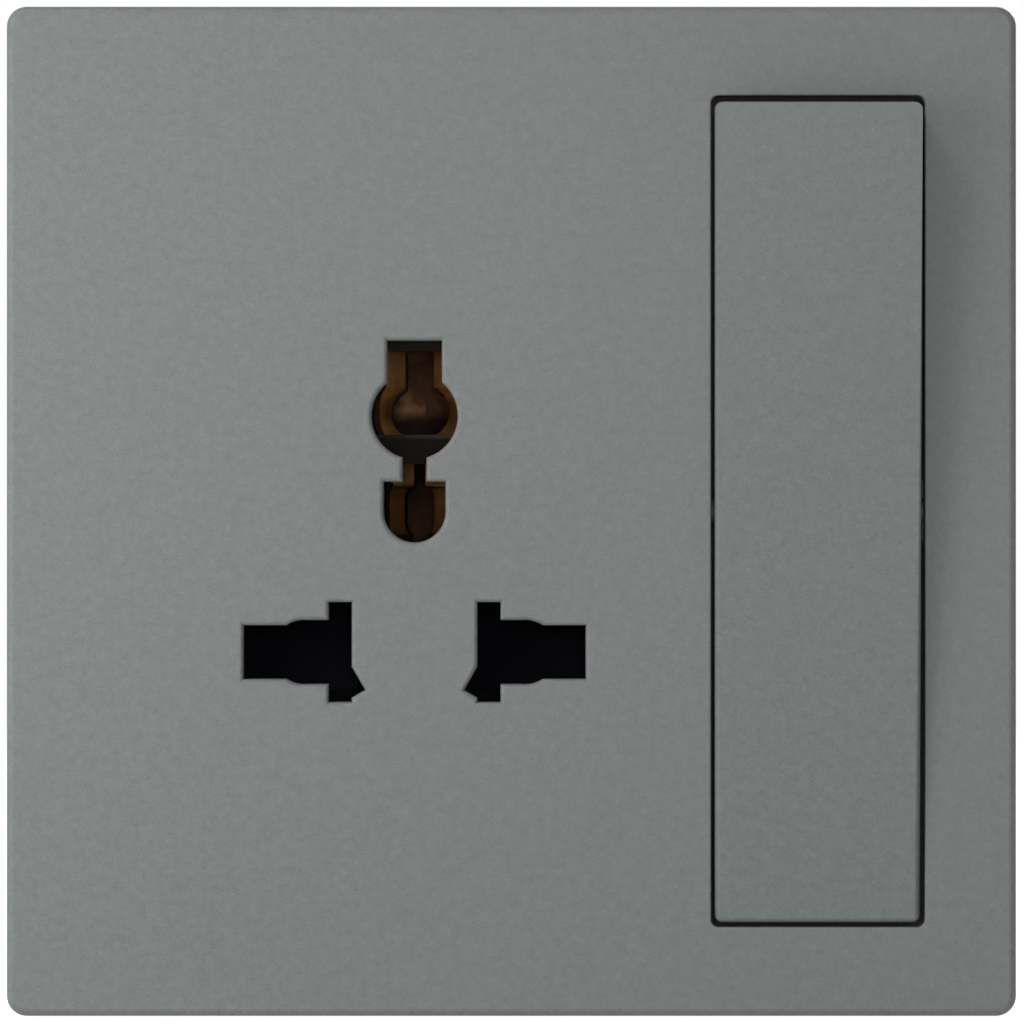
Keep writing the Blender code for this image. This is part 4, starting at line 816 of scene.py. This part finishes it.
@dataclass(frozen=True)
class Apertures:
    """The three combined pin apertures, on the socket's own centre line."""

    centre_x: float = -8.25 * MM
    pin_line_z: float = -12.0 * MM
    flat_end: float = 14.58 * MM
    flat_height: float = 4.58 * MM
    round_x: float = 9.4 * MM
    round_r: float = 2.75 * MM
    step_start: float = 7.16 * MM
    step_height: float = 5.46 * MM
    blade_x: float = 6.34 * MM
    blade_width: float = 1.97 * MM
    blade_height: float = 8.52 * MM
    slant_x: float = 6.69 * MM
    slant_drop: float = 0.87 * MM
    slant_length: float = 6.56 * MM
    slant_width: float = 1.94 * MM
    slant_lean: float = math.radians(30)
    earth_slot_width: float = 4.65 * MM
    earth_slot_top: float = 26.54 * MM
    earth_z: float = 20.12 * MM
    earth_r: float = 3.67 * MM
    neck_width: float = 2.03 * MM
    u_width: float = 5.27 * MM
    u_top: float = 14.52 * MM
    u_z: float = 11.98 * MM
    u_crown: float = 0.001 * MM

    def live(self, side: Side) -> list[Slot | RoundHole]:
        """List the holes that make up one live aperture.

        Args:
            side: The side of the centre line that it is on.

        Returns:
            Its holes.
        """
        sign = side.value
        x, z = self.centre_x, self.pin_line_z
        flat_width = self.flat_end - self.blade_x
        step_width = self.round_x - self.step_start
        return [
            Slot(x + sign * (self.blade_x + flat_width / 2), z, flat_width, self.flat_height),
            RoundHole(x + sign * self.round_x, z, self.round_r),
            Slot(x + sign * (self.step_start + step_width / 2), z, step_width, self.step_height),
            Slot(x + sign * self.blade_x, z, self.blade_width, self.blade_height),
            Slot(
                x + sign * self.slant_x, z - self.slant_drop, self.slant_width, self.slant_length,
                sign * self.slant_lean,
            ),
        ]

    def earth(self) -> list[Slot | RoundHole]:
        """List the holes that make up the earth aperture.

        Returns:
            Its holes.
        """
        x, z = self.centre_x, self.pin_line_z
        slot_height = self.earth_slot_top - self.earth_z
        neck_height = self.earth_z - self.u_z
        u_r = self.u_width / 2
        u_bottom = self.u_z - u_r
        u_middle, u_height = (self.u_top + u_bottom) / 2, self.u_top - u_bottom
        return [
            Slot(x, z + self.earth_z + slot_height / 2, self.earth_slot_width, slot_height),
            RoundHole(x, z + self.earth_z, self.earth_r),
            Slot(x, z + self.u_z + neck_height / 2, self.neck_width, neck_height),
            Slot(x, z + u_middle, self.u_width, u_height, 0, u_r - self.u_crown),
        ]

    def all(self) -> list[Slot | RoundHole]:
        """Return every hole."""
        return self.live(Side.RIGHT) + self.live(Side.LEFT) + self.earth()


# Plate and key


@dataclass
class FrontPlate:
    """Square plate with the key's opening and the apertures."""

    apertures: Apertures
    side: float = 86.0 * MM
    depth: float = 8.5 * MM
    front_wall: float = 2.2 * MM
    side_wall: float = 1.8 * MM
    corner: float = 1.7 * MM
    edge: float = 0.7 * MM
    chamfer: float = 0.36 * MM
    opening_x: float = 26.1 * MM
    opening_width: float = 18.2 * MM
    opening_height: float = 70.8 * MM
    opening_corner: float = 0.65 * MM
    opening_edge: float = 0.14 * MM
    cavity_corner: float = 0.45 * MM
    cavity_steps: int = 3
    corner_steps: int = 10
    rib: float = 1.0 * MM
    rib_height: float = 1.6 * MM
    key_gap: float = 0.65 * MM
    tray_gap: float = 2.6 * MM

    def build(self, material: bpy.types.Material) -> bpy.types.Object:
        """Model the plate.

        Args:
            material: Its finish.

        Returns:
            The piece that stands for the plate's solid.
        """
        plate = self._shell()
        self._stiffen(plate)
        front = -self.depth
        back = front + self.front_wall
        opening = Slot(
            self.opening_x, 0, self.opening_width, self.opening_height,
            corner=self.opening_corner, corner_steps=ROUND_STEPS, square_top=False,
        )
        Bench.combine(plate, opening.tool(front, back + 2 * OVERRUN, self.opening_edge), Cut.AWAY)
        for number, hole in enumerate(self.apertures.all()):
            mouth = self.chamfer * (1 + MOUTH_GROWTH * number)
            Bench.combine(plate, hole.tool(front, back + OVERRUN / 2, mouth), Cut.AWAY)
        Bench.finish(plate)
        dress(plate, material)
        return plate

    def _shell(self) -> bpy.types.Object:
        """Model the open box with round corners and a round front edge.

        Returns:
            The box, open at its back.
        """
        half = self.side / 2
        plate = Bench.box("plate_shell", (-half, -self.depth, -half), (half, 0, half))
        round_uprights(plate, self.corner, self.corner_steps)
        front = -self.depth
        with Bench.edit(plate):
            Bench.pick_edges(plate, lambda a, b: on_level(a, b, front))
            Bench.round_edges(self.edge)
        inner = half - self.side_wall
        cavity = Bench.box("cutter", (-inner, front + self.front_wall, -inner), (inner, OVERRUN, inner))
        round_uprights(cavity, self.cavity_corner, self.cavity_steps)
        Bench.combine(plate, cavity, Cut.AWAY)
        return plate

    def _stiffen(self, plate: bpy.types.Object) -> None:
        """Add the ribs on the plate's inside, clear of the tray and the key.

        Args:
            plate: The open box.
        """
        low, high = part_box("shutter_cover")
        key_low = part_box("rocker_key")[0]
        half = self.rib / 2
        inner = -self.depth + self.front_wall
        root, rib_back = inner - WELD, inner + self.rib_height
        reach = self.side / 2 - self.side_wall + WELD
        rib_x = (high.x + key_low.x - self.key_gap) / 2
        upright = Bench.box("rib", (rib_x - half, root, -reach), (rib_x + half, rib_back, reach))
        Bench.combine(plate, upright, Cut.ON)
        for z in (high.z + self.tray_gap, (high.z + reach) / 2, low.z - self.tray_gap):
            level = Bench.box("rib", (-reach, root, z - half), (rib_x, rib_back - WELD, z + half))
            Bench.combine(plate, level, Cut.ON)


def on_level(first: Vector, second: Vector, level: float) -> bool:
    """Return whether an edge lies at one level along Y."""
    return max(abs(first.y - level), abs(second.y - level)) < TOUCH


def round_uprights(
    piece: bpy.types.Object, radius: float, segments: int = ROUND_STEPS,
    which: Callable[[float], bool] = lambda z: True,
) -> None:
    """Round a box's edges that run from front to back.

    Args:
        piece: The box.
        radius: The corners' radius.
        segments: How many flats make up each corner.
        which: Picks the edges by their height.
    """
    along = Vector((0, 1, 0))
    with Bench.edit(piece):
        Bench.pick_edges(piece, lambda a, b: (a - b).cross(along).length < TOUCH / 10 and which(a.z))
        Bench.round_edges(radius, segments)


@dataclass
class SwitchKey:
    """Long key: a shell with soft edges that leans out at its top."""

    width: float = 17.45 * MM
    length: float = 69.75 * MM
    lift: float = 0.1 * MM
    corner: float = 0.65 * MM
    edge: float = 0.5 * MM
    top_edge: float = 1.1 * MM
    face_wall: float = 1.6 * MM
    side_wall: float = 1.3 * MM
    skirt: float = 6.0 * MM
    tilt: float = math.radians(3.7)
    plate_front: float = -8.5 * MM
    ear_r: float = 2.2 * MM
    stub_r: float = 1.0 * MM
    stub_length: float = 1.4 * MM
    rib: float = 1.0 * MM
    rib_height: float = 1.6 * MM
    rib_pitch: float = 12.0 * MM
    tongue_reach: float = 6.75 * MM
    tongue_nose_r: float = 0.8 * MM
    tongue_width: float = 2.0 * MM
    tongue_root: float = 3.2 * MM
    tongue_waist: float = 0.75
    nose_steps: int = 32

    def build(self, hinge: dict, switch_x: float, material: bpy.types.Material) -> bpy.types.Object:
        """Model the key about its hinge.

        Args:
            hinge: The key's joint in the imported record.
            switch_x: The middle of the switch behind it.
            material: Its finish.

        Returns:
            The piece that stands for the key's solid.
        """
        pivot = Vector(hinge["pos_m"])
        face = self._face(pivot)
        half_x, half_z, back = self.width / 2, self.length / 2, self.skirt - face
        key = Bench.box(
            "key_shell", (-half_x, -face, self.lift - half_z), (half_x, back, self.lift + half_z)
        )
        round_uprights(key, self.corner)
        with Bench.edit(key):
            top = self.lift + half_z - TOUCH
            under = top - self.top_edge
            Bench.pick_edges(key, lambda a, b: on_level(a, b, -face) and min(a.z, b.z) > top)
            Bench.round_edges(self.top_edge)
            Bench.pick_edges(key, lambda a, b: on_level(a, b, -face) and min(a.z, b.z) < under)
            Bench.round_edges(self.edge)
        inner = (half_x - self.side_wall, self.face_wall - face, half_z - self.side_wall)
        hollow = Bench.box("cutter", (-inner[0], inner[1], -inner[2]), (inner[0], back + OVERRUN, inner[2]))
        Bench.combine(key, hollow, Cut.AWAY)
        self._fit(key, inner, switch_x - pivot.x)
        Bench.finish(key)
        key.rotation_euler.x = self.tilt
        key.location = pivot
        Bench.settle(key)
        dress(key, material)
        return key

    def _face(self, pivot: Vector) -> float:
        """Return how far the face lies in front of the hinge."""
        rise = self.length / 2 * math.sin(self.tilt)
        return (pivot.y - self.plate_front + rise) / math.cos(self.tilt)

    def _fit(self, key: bpy.types.Object, inner: Point, tongue_x: float) -> None:
        """Add the ears, stubs, ribs and tongue inside the shell.

        Args:
            key: The hollow shell, with its hinge at the origin.
            inner: Half the hollow's width, its front and half its height.
            tongue_x: The middle of the tongue.
        """
        step = WELD / 4
        for sign in (1, -1):
            near, far = sorted((sign * (inner[0] - step), sign * (self.width / 2 - step)))
            middle = (near + far) / 2
            Bench.combine(key, Bench.rod("ear", (middle, 0, 0), Axis.X, self.ear_r, far - near), Cut.ON)
            web = Bench.box("ear", (near, inner[1] / 2, -self.ear_r), (far, 0, self.ear_r))
            Bench.combine(key, web, Cut.ON)
            start = inner[0]
            end = self.width / 2 + self.stub_length
            centre = (sign * (start + end) / 2, 0, 0)
            Bench.combine(key, Bench.rod("stub", centre, Axis.X, self.stub_r, end - start), Cut.ON)
        for place in (-2, -1, 1, 2):
            z, reach = place * self.rib_pitch, inner[0] + step
            rib = Bench.box(
                "rib",
                (-reach, inner[1] - WELD, z - self.rib / 2),
                (reach, inner[1] + self.rib_height, z + self.rib / 2),
            )
            Bench.combine(key, rib, Cut.ON)
        self._tongue(key, inner[1] - WELD, tongue_x)

    def _tongue(self, key: bpy.types.Object, root: float, x: float) -> None:
        """Add the tongue that turns the actuator: a tapered blade with a round nose.

        Args:
            key: The shell.
            root: Where the tongue starts, along Y.
            x: Its middle.
        """
        half, foot, tip = self.tongue_width / 2, self.tongue_root / 2, self.tongue_reach
        blade = Bench.box("tongue", (x - half, root, -foot), (x + half, tip, foot))
        with Bench.edit(blade):
            Bench.pick_faces(blade, lambda normal: normal.y > FACING)
            taper = self.tongue_nose_r * self.tongue_waist / foot
            bpy.ops.transform.resize(value=(1, 1, taper))
        Bench.combine(key, blade, Cut.ON)
        across = self.tongue_width - WELD / 20
        nose = Bench.rod("nose", (x, tip, 0), Axis.X, self.tongue_nose_r, across, self.nose_steps)
        Bench.combine(key, nose, Cut.ON)


# Earth contact


@dataclass
class EarthContact:
    """Folded earth contact: two shaped jaws with flared lips, a web and a tail."""

    apertures: Apertures
    sheet: float = 0.6 * MM
    shift: float = 0.35 * MM
    web_y: float = 14.8 * MM
    lip_y: float = -4.1 * MM
    throat_y: float = -2.9 * MM
    lip_slope: float = 0.445
    lip_half: float = 2.19 * MM
    lower_lip_half: float = 1.87 * MM
    throat_top: float = 25.72 * MM
    throat_half: float = 1.245 * MM
    bulge_z: float = 20.54 * MM
    bulge_r: float = 2.57 * MM
    waist_half: float = 0.5 * MM
    pocket_half: float = 1.28 * MM
    pocket_top: float = 14.31 * MM
    pocket_bottom: float = 9.74 * MM
    tail_width: float = 4.0 * MM
    throat_depth: float = 1.5 * MM
    arc_steps: int = 14
    pocket_steps: int = 4

    def build(self, material: bpy.types.Material) -> bpy.types.Object:
        """Model the contact.

        Args:
            material: Its finish.

        Returns:
            The piece that stands for the earth contact's solid.
        """
        centre = self.apertures.centre_x + self.shift
        base = self.apertures.pin_line_z
        half = self.bulge_r + self.sheet
        high = base + self.throat_top + self.sheet
        low = base + self.pocket_bottom - self.sheet
        front, back = self.web_y, self.web_y + self.sheet
        contact = Bench.box("earth_jaws", (centre - half, front, low), (centre + half, back, high))
        middle, wide = self.apertures.centre_x, self.tail_width / 2
        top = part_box("earth_contact")[1].z
        tail = Bench.box("tail", (middle - wide, front, high - WELD), (middle + wide, back, top))
        Bench.combine(contact, tail, Cut.ON)
        for side in Side:
            Bench.combine(contact, self._jaw(side), Cut.ON)
        Bench.finish(contact)
        dress(contact, material)
        return contact

    def _profile(self) -> list[tuple[float, float]]:
        """Trace the inside of one jaw from its top down.

        Returns:
            Distances from the middle, and heights.
        """
        join = math.asin(self.throat_half / self.bulge_r)
        waist = math.asin(self.waist_half / self.bulge_r)
        points = [(self.throat_half, self.throat_top)]
        start = math.pi / 2 - join
        turn = (waist - math.pi / 2 - start) / self.arc_steps
        for i in range(self.arc_steps + 1):
            angle = start + turn * i
            points.append((self.bulge_r * math.cos(angle), self.bulge_z + self.bulge_r * math.sin(angle)))
        points += self._pocket(1)
        points += self._pocket(-1)
        return points

    def _pocket(self, upper: int) -> list[tuple[float, float]]:
        """Trace a round shoulder of the lower pocket from the top down.

        Args:
            upper: 1 for the upper shoulder, -1 for the lower one.

        Returns:
            Distances from the middle, and heights.
        """
        waist = self.waist_half
        end_z = self.pocket_top if upper > 0 else self.pocket_bottom
        points = []
        for i in range(self.pocket_steps + 1):
            turn = math.pi / 2 * i / self.pocket_steps
            x = waist + (self.pocket_half - waist) * math.sin(turn)
            points.append((x, end_z - upper * self.pocket_half * (1 - math.cos(turn))))
        return points if upper > 0 else points[::-1]

    def _jaw(self, side: Side) -> bpy.types.Object:
        """Model one jaw by extruding its first edge round the profile.

        Args:
            side: The side of the contact that it is on.

        Returns:
            The jaw, with the sheet's thickness.
        """
        sign = side.value
        centre = self.apertures.centre_x + self.shift
        base = self.apertures.pin_line_z
        points = [(centre + sign * (x + self.sheet / 2), base + z) for x, z in self._profile()]
        Bench.clear()
        bpy.ops.mesh.primitive_plane_add(size=1)
        jaw = bpy.context.active_object
        jaw.name = "jaw"
        throat_end = self.throat_y + self.throat_depth
        levels = [self.lip_y, self.throat_y, throat_end, self.web_y + self.sheet / 2]
        with Bench.edit(jaw):
            bpy.ops.mesh.select_all(action="SELECT")
            bpy.ops.mesh.delete(type="VERT")
            mesh = bmesh.from_edit_mesh(jaw.data)
            corners = [mesh.verts.new((points[0][0], y, points[0][1])) for y in levels]
            for first, second in zip(corners, corners[1:]):
                mesh.edges.new((first, second)).select_set(True)
            bmesh.update_edit_mesh(jaw.data)
            bpy.ops.mesh.select_mode(type="EDGE")
            for last, point in zip(points, points[1:]):
                step = (point[0] - last[0], 0, point[1] - last[1])
                bpy.ops.mesh.extrude_region_move(TRANSFORM_OT_translate={"value": step})
            divide = base + self.pocket_top + TOUCH
            inner = centre + sign * self.sheet / 2
            for reach, upper in ((self.lip_half, True), (self.lower_lip_half, False)):
                Bench.pick_corners(
                    jaw, lambda place: abs(place.y - self.lip_y) < TOUCH and (place.z > divide) == upper
                )
                bpy.ops.transform.resize(value=(self.lip_slope, 1, 1), center_override=(inner, 0, 0))
                bpy.ops.transform.translate(value=(sign * reach, 0, 0))
        wall = jaw.modifiers.new("Sheet", "SOLIDIFY")
        wall.thickness = self.sheet
        wall.offset = 0
        wall.use_even_offset = True
        Bench.apply(jaw, wall)
        with Bench.edit(jaw):
            bpy.ops.mesh.select_all(action="SELECT")
            bpy.ops.mesh.normals_make_consistent(inside=False)
        return jaw


# The rest of the solids


@dataclass
class InnerParts:
    """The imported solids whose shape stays, each with its finish."""

    nodes: dict
    finishes: dict = field(default_factory=lambda: {
        DARK_FRAME: ("mounting_frame",),
        PALE_HOUSING: ("rear_housing",),
        BLACK_COVER: ("shutter_cover",),
        BLACK_SHUTTER: ("shutter_slider",),
        IVORY_LEVER: ("actuator", "plunger"),
        SPRING_STEEL: ("shutter_spring", "plunger_spring"),
        COPPER: ("moving_contact", "fulcrum_strip", "fixed_contact"),
        SILVER: ("moving_contact_tip", "fixed_contact_tip"),
        BRASS: ("line_contact", "neutral_contact"),
        MACHINED_BRASS: ("line_terminal", "neutral_terminal", "earth_terminal"),
    })

    def dress(self, wardrobe: Wardrobe) -> None:
        """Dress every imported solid. One that isn't listed is a screw or pin, or a new piece hides it.

        Args:
            wardrobe: Where the finishes come from.
        """
        listed = {name: finish for finish, names in self.finishes.items() for name in names}
        for name, node in self.nodes.items():
            dress(node, wardrobe.get(listed.get(name, ZINC_STEEL)))


class Wardrobe:
    """Builds each finish once."""

    def __init__(self) -> None:
        """Start empty."""
        self._made: dict = {}

    def get(self, finish: MouldedPlastic | RolledMetal | FormedBronze | StudioSurface) -> bpy.types.Material:
        """Build a finish on its first use.

        Args:
            finish: The finish.

        Returns:
            Its material.
        """
        if finish not in self._made:
            self._made[finish] = finish.build()
        return self._made[finish]


# Studio


@dataclass(frozen=True)
class SoftBox:
    """A square area light that looks at the object's middle."""

    name: str
    place: Point
    size: float
    power: float

    def build(self) -> None:
        """Hang the light."""
        lamp = bpy.data.lights.new(self.name, "AREA")
        lamp.shape = "SQUARE"
        lamp.size = self.size
        lamp.energy = self.power
        made = bpy.data.objects.new(self.name, lamp)
        made.location = self.place
        made.rotation_euler = (-made.location).to_track_quat("-Z", "Y").to_euler()
        bpy.context.scene.collection.objects.link(made)


@dataclass
class Studio:
    """Camera, lights, floor and world."""

    camera_distance: float = 585 * MM
    view_width: float = 87.16 * MM
    plate_front: float = -8.5 * MM
    camera_x: float = 0.05 * MM
    camera_z: float = -0.06 * MM
    sensor: float = 36.0
    floor_gap: float = 0.3 * MM
    floor_size: float = 3.0
    fill: float = 0.05
    lights: tuple[SoftBox, ...] = (
        SoftBox("key_light", (-0.148, -0.176, 0.328), 0.16, 0.50),
        SoftBox("side_light", (-0.15, -0.11, 0.02), 0.12, 0.140),
        SoftBox("front_light", (0.02, -0.55, 0.05), 0.15, 0.72),
        SoftBox("back_light", (0.24, 0.5, 0.32), 0.25, 1.4),
    )

    def build(self, wardrobe: Wardrobe) -> None:
        """Set up everything round the object.

        Args:
            wardrobe: Where the floor's finish comes from.
        """
        self._camera()
        for light in self.lights:
            light.build()
        self._world()
        self._floor(wardrobe)
        bpy.context.scene.view_settings.view_transform = "Standard"

    def _camera(self) -> None:
        """Place the camera straight in front of the plate."""
        lens = bpy.data.cameras.new("camera")
        lens.sensor_width = self.sensor
        lens.lens = self.sensor * self.camera_distance / self.view_width
        made = bpy.data.objects.new("camera", lens)
        made.location = (self.camera_x, self.plate_front - self.camera_distance, self.camera_z)
        made.rotation_euler = (math.pi / 2, 0, 0)
        bpy.context.scene.collection.objects.link(made)
        bpy.context.scene.camera = made

    def _world(self) -> None:
        """Fill from all round, and show white to the camera and in reflections."""
        graph = Graph("studio", world=True)
        bpy.context.scene.world = graph.holder
        soft, white = (
            graph.node("ShaderNodeBackground", {}, {"Color": WHITE, "Strength": strength})
            for strength in (self.fill, 1.0)
        )
        graph.close(graph.blend(graph.seen(), soft, white))

    def _floor(self, wardrobe: Wardrobe) -> None:
        """Lay the floor just under the object.

        Args:
            wardrobe: Where its finish comes from.
        """
        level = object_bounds()[0].z - self.floor_gap
        Bench.clear()
        bpy.ops.mesh.primitive_plane_add(size=self.floor_size, location=(0, 0, level))
        floor = bpy.context.active_object
        floor.name = "floor"
        Bench.settle(floor)
        dress(floor, wardrobe.get(STUDIO_WHITE))
        floor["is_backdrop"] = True


# Assembly


@dataclass
class SwitchedSocket:
    """The whole object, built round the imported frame."""

    frame: dict
    wardrobe: Wardrobe
    apertures: Apertures = field(default_factory=Apertures)

    def build(self) -> None:
        """Build and dress every piece in order."""
        joints = {joint["name"]: joint for joint in self.frame["joints"]}
        InnerParts(self.frame["nodes"]).dress(self.wardrobe)
        plate = FrontPlate(self.apertures).build(self.wardrobe.get(SLATE_PLATE))
        self._place(plate, "base", "front_plate", "plate")
        switch_x = joints["actuator_hinge"]["pos_m"][0]
        key = SwitchKey().build(joints["rocker_hinge"], switch_x, self.wardrobe.get(SLATE_KEY))
        self._place(key, "rocker", "rocker_key", "key")
        jaws = EarthContact(self.apertures).build(self.wardrobe.get(EARTH_BRONZE))
        self._place(jaws, "base", "earth_contact", "brass")

    @staticmethod
    def _place(piece: bpy.types.Object, body: str, node: str, slot: str) -> None:
        """Let a new piece stand for a solid and report it.

        Args:
            piece: The new piece.
            body: The body that it moves with.
            node: The solid that it stands for.
            slot: Not used.
        """
        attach(piece, body)
        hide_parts(node)
        faces = len(piece.data.polygons)
        LOG.info("%s rides on %s and stands for %s, %d faces", piece.name, body, node, faces)


def corners(bounds: Sequence[Vector]) -> list[list[float]]:
    """Return a box's two corners as plain lists."""
    return [list(corner) for corner in bounds]


def main() -> None:
    """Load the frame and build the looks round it."""
    logging.basicConfig(level=logging.INFO, format="%(name)s: %(message)s")
    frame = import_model()
    wardrobe = Wardrobe()
    SwitchedSocket(frame, wardrobe).build()
    Studio().build(wardrobe)


if __name__ == "__main__":
    main()
